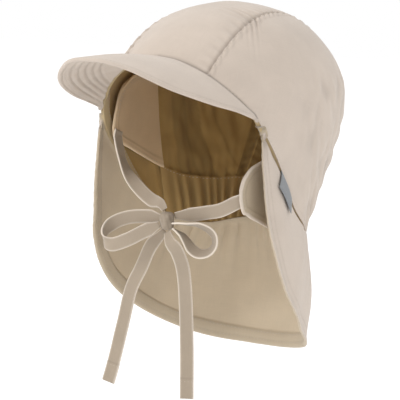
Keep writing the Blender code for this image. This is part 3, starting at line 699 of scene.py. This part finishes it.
places = np.linspace(-1, 1, PEAK_COLUMNS)
root = rim_at(places * PEAK_CORNER) + np.array([0, 0, 0.0004])
row = smooth([(k / (len(PEAK_EDGE) - 1), *r) for k, r in enumerate(PEAK_EDGE)], np.abs(places))
tip = np.stack([
    np.sign(places) * row[:, 0] * PEAK_HALF_WIDTH,
    rim_at(0.0)[1] - row[:, 1] * PEAK_LENGTH + 0.022 * np.abs(places) ** 6,
    FRONT_RISE + PEAK_TILT - row[:, 2] * FRONT_RISE,
], axis=-1)
away = root - np.array([0, TOP_SETBACK, 0])
away[:, 2] = 0
away /= np.linalg.norm(away, axis=1, keepdims=True)
root = root - away * 0.0006
stops = np.concatenate([np.linspace(0, 0.93, PEAK_ROWS - 8), np.linspace(0.94, 1.0, 8)])
plain = root[None] * (1 - stops[:, None, None]) + tip[None] * stops[:, None, None]
plain[..., 2] += PEAK_CAMBER * np.sin(math.pi * stops)[:, None] * (1 - places**2)
normal = normals_of(plain)
if normal[PEAK_ROWS // 2, PEAK_COLUMNS // 2, 2] < 0:
    normal = -normal
reach = np.stack([lengths(plain[:, c]) for c in range(PEAK_COLUMNS)], axis=1)
from_edge = reach[-1] - reach
run = np.stack([lengths(plain[r]) for r in range(PEAK_ROWS)], axis=0)
round_edge = np.sqrt(np.clip(1 - (1 - np.clip(from_edge / 0.0016, 0, 1)) ** 2, 0.06, 1))
stitched = np.exp(-(((from_edge - PEAK_STITCH_INSET) / 0.0006) ** 2))
soft = rumple(plain, 0.030, 21.0) * 0.0005 + rumple(plain, 0.012, 5.0) * 0.00012
top = plain + normal * (soft - 0.00022 * stitched - PEAK_WALL / 2 * (1 - round_edge))[..., None]
quilt = sum(np.exp(-(((from_edge - inset) / 0.0011) ** 2)) for inset in QUILT_ROWS)
puff = np.abs(np.sin(math.pi * run / 0.0098 + 1.2 * np.sin(run / 0.017))) * 0.00035
under_relief = 0.00055 * quilt - puff * (1 - quilt) * step(from_edge, 0.006, 0.012)
under = plain - normal * (
    PEAK_WALL - PEAK_WALL / 2 * (1 - round_edge) - under_relief - 0.00022 * stitched
)[..., None]
under[0] = top[0] - np.array([0, 0, PEAK_WALL])
# Painted shade: darker along the edge stitching, at the root where the peak meets the rim, and along the quilting
# grooves and stitching underneath.
at_root = np.exp(-((reach / 0.0012) ** 2))
peak = cloth(
    "peak_cover", top, under, beige_cotton, crease=0.14 * stitched + 1.2 * at_root,
    under=0.22 * quilt + 0.18 * stitched,
)
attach(peak, "root")
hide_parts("peak")


def at_inset(grid, off, distance, inset):
    """The line on a grid that lies a set distance in from its last row."""
    line, out = [], []
    for c in range(grid.shape[1]):
        if distance[0, c] < inset * 1.3:
            continue
        where = np.interp(-inset, -distance[:, c], np.arange(grid.shape[0]))
        low = int(where)
        mix = where - low
        high = min(low + 1, grid.shape[0] - 1)
        line.append(grid[low, c] * (1 - mix) + grid[high, c] * mix)
        out.append(off[low, c])
    return np.array(line), np.array(out)


sewn("peak_edge_stitches_top", *at_inset(top, normal, from_edge, PEAK_STITCH_INSET))
sewn("peak_edge_stitches_under", *at_inset(under, -normal, from_edge, PEAK_STITCH_INSET))
for k, inset in enumerate(QUILT_ROWS):
    sewn(f"peak_quilting_{k + 1}", *at_inset(under, -normal, from_edge, inset))


# Neck flap: one layer of cotton sewn round the rim from temple to temple, eased into small
# pleats over the elastic, with a turned hem that has two rows of stitches.
FLAP_LENGTH = 0.0835
FLAP_HALF_WIDTH = 0.0735
FLAP_BACK = 0.095
FLAP_WALL = 0.0009
FLAP_START = 51.0
HEM_WIDTH = 0.010
HEM_WALL = 0.0018
FLAP_SWELL = 0.0050
FLAP_ROWS = 96
FLAP_COLUMNS = 171
SEAM_TUCK = 0.0026
# half width, depth behind the temples and drop shares, from the temple to the middle back
FLAP_EDGE = [
    (0.885, 0.033, 0.070),
    (0.900, 0.004, 0.150),
    (0.908, -0.008, 0.225),
    (0.930, -0.009, 0.320),
    (0.968, 0.006, 0.420),
    (1.010, 0.045, 0.545),
    (1.018, 0.140, 0.665),
    (0.975, 0.320, 0.800),
    (0.860, 0.580, 0.908),
    (0.670, 0.790, 0.978),
    (0.360, 0.905, 1.010),
    (0.000, 0.925, 1.018),
]


def curve_through(points, count):
    """count points, evenly spaced on a smooth curve through the given ones."""
    table = [(i, *point) for i, point in enumerate(points)]
    return resample(smooth(table, np.linspace(0, len(points) - 1, 40 * len(points))), count)


depth = NAPE_DROP + FLAP_LENGTH
half_edge = curve_through(
    [(w * FLAP_HALF_WIDTH, b * FLAP_BACK, -h * depth) for w, b, h in FLAP_EDGE], FLAP_COLUMNS // 2 + 1,
)
angles = np.linspace(FLAP_START, 180, 400)
seam_line = rim_at(angles)
seam_reach = lengths(seam_line)
spread = np.linspace(0, 1, FLAP_COLUMNS // 2 + 1)
seam_angles = np.interp(spread * seam_reach[-1], seam_reach, angles)
half_seam = rim_at(seam_angles) - np.array([0, 0, 0.0004])
full = []
for t in range(2):
    line = (half_seam, half_edge)[t]
    full.append(np.concatenate([line, (line * np.array([-1, 1, 1]))[-2::-1]]))
seam_line, edge_line = full
share = np.concatenate([spread, spread[-2::-1]])
long = np.linalg.norm(edge_line - seam_line, axis=1)
hem = np.minimum(HEM_WIDTH / long, 0.45)
columns = []
hem_rows = 14
for c in range(FLAP_COLUMNS):
    fold = 1 - hem[c]
    t = np.concatenate([
        np.linspace(0, fold - 0.006, FLAP_ROWS - hem_rows), np.linspace(fold, 1, hem_rows),
    ])
    columns.append(t)
t = np.array(columns).T
plain = seam_line[None] * (1 - t[..., None]) + edge_line[None] * t[..., None]
out = plain - np.array([0, 0.4 * FLAP_BACK, 0])
out[..., 2] = 0
out /= np.linalg.norm(out, axis=2, keepdims=True)
swell = FLAP_SWELL * np.sin(math.pi * np.minimum(1, t * 1.08)) * np.minimum(1, long / 0.05)
plain = plain + out * (swell * share**0.5)[..., None]
normal = normals_of(plain)
if np.sum(normal * out) < 0:
    normal = -normal
below = t * long
run = np.stack([lengths(plain[r]) for r in range(FLAP_ROWS)], axis=0)
run = run - run[:, FLAP_COLUMNS // 2:FLAP_COLUMNS // 2 + 1]
from_edge = (1 - t) * long
side_edge = np.minimum(np.arange(FLAP_COLUMNS), np.arange(FLAP_COLUMNS)[::-1])[None] * np.ones_like(t)
seam_run = run[0][None] * np.ones_like(t)
wander = 1.2 * np.sin(seam_run / 0.019) + 0.8 * np.sin(seam_run / 0.0088)
pleat = np.cos(2 * math.pi * seam_run / 0.0082 + wander) + 0.4 * np.cos(
    2 * math.pi * seam_run / 0.0049 - wander)
pleat_fade = step(share, 0.42, 0.68)[None] * (1 - step(below, 0.006, 0.046)) * step(below, 0.0, 0.003)
long_fold = np.sin(2 * math.pi * seam_run / 0.043 + 0.9) * step(below, 0.01, 0.05) * step(share, 0.25, 0.6)
flap_relief = (
    0.00085 * pleat * pleat_fade
    + 0.0011 * long_fold * (1 - 0.5 * step(from_edge, 0.0, 0.02))
    + 0.0022 * rumple(plain, 0.034, 31.0)
    + 0.00025 * rumple(plain, 0.012, 17.0)
    - 0.0010 * np.exp(-((below / 0.0012) ** 2))
)
hem_band = 1 - step(from_edge, HEM_WIDTH - 0.0005, HEM_WIDTH + 0.0005)
HEM_STITCHES = (0.0036, 0.0086)
hem_groove = sum(np.exp(-(((from_edge - place) / 0.0006) ** 2)) for place in HEM_STITCHES)
hem_tight = hem_band * np.sin(2 * math.pi * run / 0.0068 + 1.5 * np.sin(run / 0.012)) * 0.00016
outer = plain + normal * (flap_relief + hem_tight - 0.0002 * hem_groove)[..., None]
wall = FLAP_WALL + (HEM_WALL - FLAP_WALL) * hem_band
wall = wall * np.sqrt(np.clip(1 - (1 - np.clip(from_edge / 0.0013, 0, 1)) ** 2, 0.12, 1))
inner = outer - normal * (wall - 0.0002 * hem_groove)[..., None]
# the top edge runs up behind the rim
tucked = np.exp(-((below / 0.0010) ** 2))[..., None]
outer = outer + (np.array([0, 0, SEAM_TUCK]) - out * 0.0016) * tucked
inner = inner + (np.array([0, 0, SEAM_TUCK]) - out * 0.0016) * tucked
# Painted shade: darker just under the seam, in the pleats' troughs and along the hem's stitch grooves.
crease = 0.4 * np.exp(-((below / 0.0016) ** 2)) + 0.14 * np.maximum(-pleat, 0) * pleat_fade + 0.16 * hem_groove
flap_outer, flap_normal = outer, normal
# Painted shade: the flap's inner face takes a warmer colour than its outside, for the warm shade inside the flap.
FLAP_INSIDE_SHADE = (0.585, 0.485, 0.355)
flap_cotton = cotton("flap_cotton", BEIGE, inside=FLAP_INSIDE_SHADE)
# Its inner face takes painted shade too: darker over the hem band and in the cloth's dents.
flap = cloth(
    "neck_flap_cloth", outer, inner, flap_cotton, crease=crease, under=crease + 0.30 * hem_band + 0.10 * np.maximum(-rumple(plain, 0.034, 31.0), 0),
)
mark_painted_light(flap, np.concatenate([np.zeros(outer.shape[:2]), np.ones(outer.shape[:2])]))
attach(flap, "root")
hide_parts("neck_flap")
for k, inset in enumerate(HEM_STITCHES):
    sewn(f"hem_stitches_outside_{k + 1}", *at_inset(outer, normal, from_edge, inset))
    sewn(f"hem_stitches_inside_{k + 1}", *at_inset(inner, -normal, from_edge, inset))


# Rim facing: a narrow bias band sewn inside the rim round the forehead and temples. Its cotton
# is painted a darker brown than the cap's, as painted shade, so it shows as a darker border
# inside the far temple.
FACING_REACH = 84
FACING_WIDTH = 0.0088
FACING_WALL = 0.0011
FACING_OFF = 0.0009
# Painted shade: the facing's cotton is a darker brown than the cap's.
facing_cotton = cotton("facing_cotton", (0.430, 0.330, 0.190), sheen=0.15)
angles = np.linspace(-FACING_REACH, FACING_REACH, 181)
rows = []
for share in (-0.16, -0.10, 0.0, 0.12, 0.3, 0.5, 0.7, 0.88, 1.0):
    low = rim_lift(angles)
    per_lift = np.linalg.norm(crown_at(angles, low + 0.05) - crown_at(angles, low), axis=-1) / 0.05
    rows.append(crown_at(angles, low + FACING_WIDTH * share / per_lift))
plain = np.array(rows)
normal = normals_of(plain)
if np.sum(normal * (plain - np.array([0, TOP_SETBACK, 0]))) > 0:
    normal = -normal
wave = 0.00025 * rumple(plain, 0.009, 3.0)
seat = plain + normal * (CROWN_WALL + FACING_OFF + wave)[..., None]
seat[0] = plain[2] + normal[2] * 0.0002 - np.array([0, 0, 0.0006])
seat[1] = plain[2] + normal[2] * 0.0008 - np.array([0, 0, 0.0008])
facing = cloth("rim_facing_band", seat, seat + normal * FACING_WALL, facing_cotton)
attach(facing, "root")
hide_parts("rim_facing")
sewn("rim_facing_stitches", (seat + normal * FACING_WALL)[7], normal[7])


# Nape casing: a channel of cotton inside the back of the rim. The elastic in it draws it up
# into deep upright gathers.
CASING_START = 98
CASING_WIDTH = 0.034
CASING_WALL = 0.0010
CASING_COLUMNS = 421
CASING_PLEATS = 23
CASING_DEPTH = 0.0034
# Painted shade: the casing is a darker brown than the cap's cotton, for the shade inside the crown.
casing_cotton = cotton("casing_cotton", (0.420, 0.280, 0.115), sheen=0.15)
angles = np.linspace(CASING_START, 360 - CASING_START, CASING_COLUMNS)
angles = np.where(angles > 180, angles - 360, angles)
rows, shares = [], np.array([0, 0.05, 0.10, 0.16, 0.24, 0.33, 0.43, 0.53, 0.63, 0.73, 0.82, 0.90, 0.96, 1.0])
for share in shares:
    low = rim_lift(angles)
    per_lift = np.linalg.norm(crown_at(angles, low + 0.05) - crown_at(angles, low), axis=-1) / 0.05
    rows.append(crown_at(angles, low + (0.0005 + CASING_WIDTH * share) / per_lift))
plain = np.array(rows)
axis = np.array([0, TOP_SETBACK, 0])
normal = normals_of(np.concatenate([plain[:, -3:-1][:, :0], plain], axis=1))
turn = np.linspace(0, 1, CASING_COLUMNS)[None]
if np.sum(normal * (plain - axis)) > 0:
    normal = -normal
phase = 2 * math.pi * turn * CASING_PLEATS + 1.6 * np.sin(turn * 17.0) + 0.9 * np.sin(turn * 41.0)
pleat = 0.5 - 0.5 * np.cos(phase)
pleat = pleat ** 1.4 * (0.72 + 0.28 * np.sin(turn * 29.0 + shares[:, None] * 2.0))
slack = np.sin(math.pi * np.clip(shares * 0.86 + 0.10, 0, 1))[:, None]
ends = np.clip(np.sin(math.pi * turn), 0, 1) ** 0.4
lift = CASING_DEPTH * pleat * (0.30 + 0.70 * slack) * ends
seat = plain + normal * (CROWN_WALL + 0.0007 + lift)[..., None]
# Painted shade: darker in the troughs between the gathers, with a faint banding round the rim.
crease = 1.0 * (1 - pleat) ** 3 * ends * (0.4 + 0.6 * slack) + 0.10 * np.sin(turn * 23.0)
casing = cloth("nape_casing_cloth", seat, seat + normal * CASING_WALL, casing_cotton, crease=crease)
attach(casing, "root")
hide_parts("nape_casing")
sewn("casing_stitches", (seat + normal * CASING_WALL)[-2], normal[-2])


# Ear flaps: two rounded cotton flaps sewn in at the sides, their bound edges topstitched.
# The bow draws the left one's tip down and forward; the right one lies inside the crown.
EAR_FLAP_LENGTH = 0.056
EAR_FLAP_WIDTH = 0.064
EAR_FLAP_WALL = 0.0013
EAR_FLAP_HANG = 0.0035
EAR_FLAP_INSET = 0.0022
EAR_FLAP_TIP_X = 0.0575
LEFT_TIP = (-0.0120, -0.0485, 0.68)
RIGHT_TIP = (0.0078, -0.0120, 1.0)
EAR_ROWS = 44
EAR_COLUMNS = 49
EAR_EDGE_STITCH = 0.0030
# share of the length, upper and lower edge shares of the width
EAR_FLAP_SHAPE = [
    (0.000, 0.050, -0.050),
    (0.035, 0.155, -0.155),
    (0.135, 0.300, -0.225),
    (0.360, 0.420, -0.320),
    (0.730, 0.500, -0.470),
    (1.000, 0.515, -0.580),
]
# Painted light: the near flap is a darker tan than the cap's cotton, as painted shade; the far flap is a warmer,
# lighter colour, for the light that falls on it inside the crown; both have painted highlights along their edges.
EAR_EDGE_HIGHLIGHT = (0.600, 0.515, 0.430)
ear_cotton = cotton("ear_flap_cotton", (0.640, 0.475, 0.300), inside=(0.70, 0.54, 0.36), sheen=0.2)
ear_shaded_cotton = cotton("ear_flap_shaded", (0.440, 0.355, 0.255), inside=EAR_EDGE_HIGHLIGHT, sheen=0.2)


def seat_x(y, z):
    """How far out a piece can lie inside the crown's side."""
    low, high = np.full(np.shape(y), 20.0), np.full(np.shape(y), 160.0)
    rise = (z - WIDEST_LEVEL) / (CROWN_TOP - WIDEST_LEVEL)
    lift = np.where(rise > 0, np.arcsin(np.clip(rise, 0, 1)), rise)
    for _ in range(26):
        middle = (low + high) / 2
        point = crown_at(middle, np.maximum(lift, rim_lift(middle)))
        ahead = point[..., 1] < y
        low, high = np.where(ahead, middle, low), np.where(ahead, high, middle)
    point = crown_at(middle, np.maximum(lift, rim_lift(middle)))
    return point[..., 0] - 0.0024


def ear_point(side, along_it, across):
    """A point of an ear flap: along it is 0 at its tip and 1 at its root."""
    upper, lower = np.moveaxis(smooth(EAR_FLAP_SHAPE, along_it), -1, 0)
    tip_y, tip_z, spread = LEFT_TIP if side > 0 else RIGHT_TIP
    reach = np.where(across > 0, upper * spread, -lower)
    y = tip_y + along_it * EAR_FLAP_LENGTH
    z = tip_z + across * reach * EAR_FLAP_WIDTH
    if side > 0:
        root_x = seat_x(np.full(np.shape(z), tip_y + EAR_FLAP_LENGTH), np.maximum(z, -0.055))
        x = EAR_FLAP_TIP_X + (root_x - EAR_FLAP_INSET - EAR_FLAP_TIP_X) * along_it**1.2
    else:
        x = seat_x(y, z) - EAR_FLAP_HANG * (1 - along_it)
    return np.stack([side * x, y, z], axis=-1)


for side, word, finish, slot in (
    (1, "left", ear_shaded_cotton, "beige_cotton"), (-1, "right", ear_cotton, "inner_cotton"),
):
    along_it = np.linspace(0, 1, EAR_ROWS)[:, None] ** 1.6 * np.ones((1, EAR_COLUMNS))
    across = np.sin(np.linspace(-math.pi / 2, math.pi / 2, EAR_COLUMNS))[None] * np.ones((EAR_ROWS, 1))
    plain = ear_point(side, along_it, across)
    normal = normals_of(plain)
    if normal[EAR_ROWS // 2, EAR_COLUMNS // 2, 0] * side < 0:
        normal = -normal
    rim_line = np.concatenate([plain[::-1, 0], plain[0, 1:-1], plain[:, -1]])
    flat_points = plain.reshape(-1, 1, 3)
    distance = np.linalg.norm(flat_points - rim_line[None], axis=2).min(axis=1).reshape(plain.shape[:2])
    edge_round = np.sqrt(np.clip(1 - (1 - np.clip(distance / 0.0012, 0, 1)) ** 2, 0.10, 1))
    band = 1 - step(distance, 0.0042, 0.0054)
    puff = 0.00030 * band + 0.0004 * rumple(plain, 0.020, 13.0) - 0.00016 * np.exp(
        -(((distance - EAR_EDGE_STITCH) / 0.0005) ** 2))
    outer = plain + normal * (puff - EAR_FLAP_WALL / 2 * (1 - edge_round))[..., None]
    inner = plain - normal * (EAR_FLAP_WALL + puff - EAR_FLAP_WALL / 2 * (1 - edge_round))[..., None]
    # Painted shade: a dark line along the inner edge of the flap's bound band.
    crease = 0.25 * np.exp(-(((distance - 0.0050) / 0.0007) ** 2))
    piece = cloth(f"ear_flap_{word}_cloth", outer, inner, finish, crease=crease)
    # Painted highlight along the flap's edge.
    painted_edge_highlight = 1 - step(distance, 0.0010, 0.0022)
    mark_painted_light(piece, np.concatenate([painted_edge_highlight, painted_edge_highlight]))
    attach(piece, "root")
    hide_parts(f"ear_flap_{word}")
    inset = plain.mean(axis=(0, 1)) - rim_line
    inset = inset / np.linalg.norm(inset, axis=1, keepdims=True)
    line = rim_line[2:-2] + inset[2:-2] * EAR_EDGE_STITCH
    off = normal[EAR_ROWS // 2, EAR_COLUMNS // 2]
    outs = np.repeat(off[None], len(line), axis=0)
    sewn(f"ear_flap_{word}_stitches_outside", line + outs * 0.0001, outs)
    sewn(f"ear_flap_{word}_stitches_inside", line - outs * (EAR_FLAP_WALL + 0.0001), -outs)


# Ties and bow: two flat tapes of the same cotton, folded in and stitched along one edge. Each
# is sewn to its ear flap's inner face; they meet in a bow, and their ends are turned up twice.
TIE_WIDTH = 0.0090
TIE_WALL = 0.0013
KNOT = np.array([0.0, -0.0115, -0.0705])
BOW_TURN = math.radians(20)
TAIL_HEM = 0.0135
# Painted light: the tapes are darker than the cap's cotton, as painted shade, with a painted highlight along each
# edge.
TAPE_COLOUR = (0.375, 0.307, 0.236)
TAPE_EDGE_HIGHLIGHT = (0.720, 0.635, 0.540)
tie_cotton = cotton("tie_cotton", TAPE_COLOUR, inside=TAPE_EDGE_HIGHLIGHT)
# across the bow, up, and towards the viewer, from the knot, in metres
RIGHT_TIE = [
    (-0.0020, 0.0070, -0.0014),
    (-0.0064, 0.0101, -0.0060),
    (-0.0140, 0.0110, -0.0125),
    (-0.0247, 0.0155, -0.0228),
    (-0.0358, 0.0232, -0.0333),
    (-0.0430, 0.0345, -0.0385),
]
LEFT_TIE = [
    (0.0047, 0.0034, -0.0014),
    (0.0169, 0.0049, 0.0008),
    (0.0278, 0.0072, 0.0045),
    (0.0381, 0.0098, 0.0070),
]
RIGHT_LOOP = [
    (-0.0046, 0.0016, -0.0021),
    (-0.0165, 0.0016, -0.0050),
    (-0.0280, 0.0002, -0.0060),
    (-0.0375, -0.0036, -0.0048),
    (-0.0425, -0.0092, -0.0012),
    (-0.0412, -0.0145, 0.0028),
    (-0.0350, -0.0160, 0.0052),
    (-0.0245, -0.0122, 0.0058),
    (-0.0150, -0.0072, 0.0046),
    (-0.0045, -0.0022, 0.0024),
]
LEFT_LOOP = [
    (0.0049, -0.0012, 0.0025),
    (0.0140, -0.0004, 0.0062),
    (0.0228, -0.0008, 0.0064),
    (0.0294, -0.0036, 0.0064),
    (0.0332, -0.0080, 0.0064),
    (0.0330, -0.0135, 0.0062),
    (0.0292, -0.0180, 0.0058),
    (0.0232, -0.0194, 0.0054),
    (0.0178, -0.0168, 0.0048),
    (0.0138, -0.0118, 0.0036),
    (0.0102, -0.0078, 0.0022),
    (0.0041, -0.0046, 0.0004),
]
RIGHT_TAIL = [
    (-0.0016, -0.0067, -0.0010),
    (-0.0065, -0.0115, -0.0022),
    (-0.0118, -0.0175, -0.0022),
    (-0.0176, -0.0310, -0.0010),
    (-0.0244, -0.0458, 0.0000),
    (-0.0307, -0.0713, 0.0000),
    (-0.0363, -0.0937, 0.0000),
    (-0.0402, -0.1077, 0.0005),
]
LEFT_TAIL = [
    (0.0006, -0.0069, 0.0017),
    (0.0046, -0.0124, 0.0080),
    (0.0092, -0.0180, 0.0088),
    (0.0126, -0.0298, 0.0070),
    (0.0136, -0.0500, 0.0045),
    (0.0139, -0.0828, 0.0030),
    (0.0138, -0.1148, 0.0030),
]
bow_right = np.array([math.cos(BOW_TURN), math.sin(BOW_TURN), 0.0])
bow_ahead = np.array([math.sin(BOW_TURN), -math.cos(BOW_TURN), 0.0])


def bow_way(across, up, ahead):
    return bow_right * across + np.array([0, 0, up]) + bow_ahead * ahead


def tape(name, path, facings, widths, node, hem=False, wall=TIE_WALL, finish=None):
    """A folded flat tape along a path, with its stitched edge and, on a tail, its turned end."""
    count = len(path)
    place = np.linspace(0, 1, count)
    runs = np.gradient(path, axis=0)
    runs /= np.linalg.norm(runs, axis=1, keepdims=True)
    table = [(k / (len(facings) - 1), *way) for k, way in enumerate(facings)]
    faces = smooth(table, place)
    across = np.cross(faces, runs)
    across /= np.linalg.norm(across, axis=1, keepdims=True)
    out = np.cross(runs, across)
    broad = np.interp(place, np.linspace(0, 1, len(widths)), widths)
    s = np.array([-1, -0.97, -0.90, -0.72, -0.45, -0.15, 0.15, 0.45, 0.72, 0.90, 0.97, 1])
    profile = np.array([0.16, 0.62, 1.0, 1.0, 0.86, 0.82, 0.82, 0.86, 1.0, 1.0, 0.62, 0.16])
    reach = lengths(path)
    thick = np.full(count, 1.0)
    if hem:
        from_end = reach[-1] - reach
        thick += 0.75 * (1 - step(from_end, TAIL_HEM - 0.0004, TAIL_HEM + 0.0006))
    centre = path[:, None] + across[:, None] * (s[None, :, None] * broad[:, None, None] / 2)
    soft = rumple(centre, 0.012, 41.0) * 0.00035
    half = wall / 2 * profile[None] * thick[:, None]
    half = half * np.clip(np.minimum(reach, reach[-1] - reach)[:, None] / 0.0006, 0.3, 1)
    front = centre + out[:, None] * (soft + half)[..., None]
    rear = centre + out[:, None] * (soft - half)[..., None]
    # Painted shade along the folds near each edge, and at the turned end's crease.
    crease = np.zeros((count, len(s)))
    crease[:, 2] = crease[:, -3] = 0.20
    if hem:
        line = np.exp(-(((from_end - TAIL_HEM) / 0.0005) ** 2))
        crease += 0.3 * line[:, None]
    piece = cloth(name, front, rear, finish or tie_cotton, crease=crease)
    # Painted highlight along both edges of the tape.
    painted_edge_highlight = np.zeros((count, len(s)))
    painted_edge_highlight[:, [0, 1, 2, -3, -2, -1]] = (1, 1, 0.6, 0.6, 1, 1)
    mark_painted_light(piece, np.concatenate([painted_edge_highlight, painted_edge_highlight]))
    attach(piece, "root")
    if node:
        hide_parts(node)
    keep = slice(2, -2)
    sewn(f"{name}_stitches", front[keep, 9], out[keep], pitch=0.0023, long=0.0015, thick=0.00036)
    if hem:
        row = np.argmin(np.abs(from_end - (TAIL_HEM - 0.0016)))
        sewn(f"{name}_end_stitches", front[row, 1:-1], np.repeat(out[row][None], 10, axis=0),
             pitch=0.0019, long=0.0012, thick=0.00036)
    return piece


FULL = TIE_WIDTH
for side, word, route, seats in (
    (1, "left", LEFT_TIE, [(0.12, -0.35, 0.0020), (0.22, -0.35, 0.0005), (0.36, -0.32, 0.0001)]),
    (-1, "right", RIGHT_TIE, [(0.050, -0.98, 0.0012), (0.060, -0.75, 0.0006), (0.080, -0.45, 0.0003)]),
):
    ends = []
    for along_it, across, off in seats:
        here, beside, above = (
            ear_point(side, np.array(a), np.array(b))
            for a, b in ((along_it, across), (along_it + 0.02, across), (along_it, across + 0.1))
        )
        into = np.cross(beside - here, above - here)
        into /= np.linalg.norm(into)
        into = into if into[0] * side < 0 else -into
        ends.append(here + into * (EAR_FLAP_WALL + 0.0009 + off))
    path = curve_through([KNOT + bow_way(*p) for p in route] + [tuple(e) for e in ends], 90)
    if side > 0:
        facings = [bow_way(0, 0, 1)] * 5 + [-into] * 2
    else:
        facings = [bow_way(0, 0.4, 1), bow_way(0.1, 0.5, 0.9), bow_way(0.3, 0.4, 0.7), into, into]
    tape(f"tie_{word}_tape", path, facings, [0.45 * FULL] + [FULL] * 6, f"tie_{word}")

LOOP_WIDTHS = [0.45 * FULL] + [FULL] * 12 + [0.45 * FULL]
front, left, down, rear = (0, 0, 1), (-1, 0, 0), (0, -0.85, -0.5), (0, 0, -1)
path = curve_through([KNOT + bow_way(*p) for p in RIGHT_LOOP], 130)
tape("bow_loop_right_tape", path,
     [bow_way(*w) for w in (rear, rear, rear, left, front, front, front)], LOOP_WIDTHS, "bow_loop_right")
turning = [(0, 1, -0.1), (0.5, 0.85, -0.2), (1, 0.1, -0.5), (0.5, -0.7, -0.5), down,
           (-0.9, -0.3, -0.3), (-1, -0.3, 0)]
path = curve_through([KNOT + bow_way(*p) for p in LEFT_LOOP], 130)
tape("bow_loop_left_tape", path, [bow_way(*w) for w in turning], LOOP_WIDTHS, "bow_loop_left")
for word, route, lean in (("right", RIGHT_TAIL, -0.15), ("left", LEFT_TAIL, 0.1)):
    path = curve_through([KNOT + bow_way(*p) for p in route], 150)
    tape(f"tie_tail_{word}_tape", path, [bow_way(lean, 0, 1)] * 2, [0.5 * FULL] + [FULL] * 9,
         f"tie_tail_{word}", hem=True)


# Knot: the tape wraps once round the loops, a little pinched, and crosses itself at one side.
KNOT_WIDTH = 0.0095
KNOT_HEIGHT = 0.0115
KNOT_DEPTH = 0.0085
WRAP_WALL = 0.0013
WRAP_ROWS = 25
WRAP_SIDES = 72
rise = np.linspace(-1, 1, WRAP_ROWS)[:, None]
turn = np.linspace(0, 2 * math.pi, WRAP_SIDES, endpoint=False)[None]
girth = (1 - 0.98 * np.abs(rise) ** 3.4) ** (1 / 3.4) * (1 + 0.06 * rise)
pinch = 1 - 0.16 * np.exp(-(((rise - 0.25 * np.cos(turn)) / 0.30) ** 2)) * (0.5 + 0.5 * np.sin(2 * turn + 0.7))
creased = 0.05 * np.sin(5 * turn + 2.2 * rise) * (1 - rise**2) + 0.03 * np.sin(9 * turn - 4 * rise)
girth = girth * (pinch + creased)
place = (
    bow_right * (KNOT_WIDTH / 2 * girth * np.cos(turn))[..., None]
    + bow_ahead * (KNOT_DEPTH / 2 * girth * np.sin(turn))[..., None]
    + np.array([0, 0, 1]) * (KNOT_HEIGHT / 2 * rise * np.ones_like(turn))[..., None]
)
outer = KNOT + place
inner = KNOT + place * 0.72
# Painted shade: the wrap is darker all over, and darker still in its hollows.
knot = cloth("bow_knot_wrap", outer, inner, tie_cotton, closed=True, crease=0.25 - 1.5 * creased)
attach(knot, "root")
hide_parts("bow_knot")


# Label: a short folded piece of plain grey tape, caught in the seam above the left flap.
LABEL_START = 64.0
LABEL_LENGTH = 0.0226
LABEL_WIDTH = 0.0135
LABEL_SLANT = 0.12
LABEL_WALL = 0.0008
LABEL_GREY = (0.235, 0.243, 0.252)
label_grey = cotton("label_grey", LABEL_GREY, sheen=0.1, yarn=0.00030, depth=0.00008)
left = flap_outer[:, : FLAP_COLUMNS // 2 + 1]
left_out = flap_normal[:, : FLAP_COLUMNS // 2 + 1]
seam = resample(half_seam, 400)
begin = np.linalg.norm(seam - rim_at(LABEL_START), axis=1).argmin()
pace = lengths(seam)[-1] / 399
run_steps = int(LABEL_LENGTH / pace)
LABEL_ROWS, LABEL_COLUMNS = 15, 23
flat_yz = left[..., 1:].reshape(-1, 2)
rows_out, rows_in = [], []
for w in np.linspace(0, 1, LABEL_ROWS):
    row_out, row_in = [], []
    for s in np.linspace(0, 1, LABEL_COLUMNS):
        k = begin + int(s * run_steps)
        way = seam[k + 6] - seam[k]
        way /= np.linalg.norm(way)
        square = np.cross(way, [1.0, 0.0, 0.0])
        square = square if square[1] < 0 else -square
        square = square + np.array([0, 0, -LABEL_SLANT])
        square /= np.linalg.norm(square)
        spot = seam[k] + square * (0.0002 + w * LABEL_WIDTH)
        gap = np.linalg.norm(flat_yz - spot[None, 1:], axis=1)
        near = np.argsort(gap)[:12]
        weight = np.exp(-((gap[near] / 0.0012) ** 2)) + 1e-9
        weight /= weight.sum()
        x = float((left.reshape(-1, 3)[near, 0] * weight).sum())
        off = (left_out.reshape(-1, 3)[near] * weight[:, None]).sum(axis=0)
        off /= np.linalg.norm(off)
        spot = np.array([x, spot[1], spot[2]])
        border = min(w * LABEL_WIDTH + 0.002, (1 - w) * LABEL_WIDTH, s * LABEL_LENGTH, (1 - s) * LABEL_LENGTH)
        half = LABEL_WALL / 2 * math.sqrt(min(1.0, 0.25 + border / 0.0006))
        lift = 0.0009 + 0.0008 * w
        row_out.append(spot + off * (lift + half))
        row_in.append(spot + off * (lift - half))
    rows_out.append(row_out)
    rows_in.append(row_in)
rows_out, rows_in = np.array(rows_out), np.array(rows_in)
label = cloth("label_tape", rows_out, rows_in, label_grey)
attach(label, "root")
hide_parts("label")
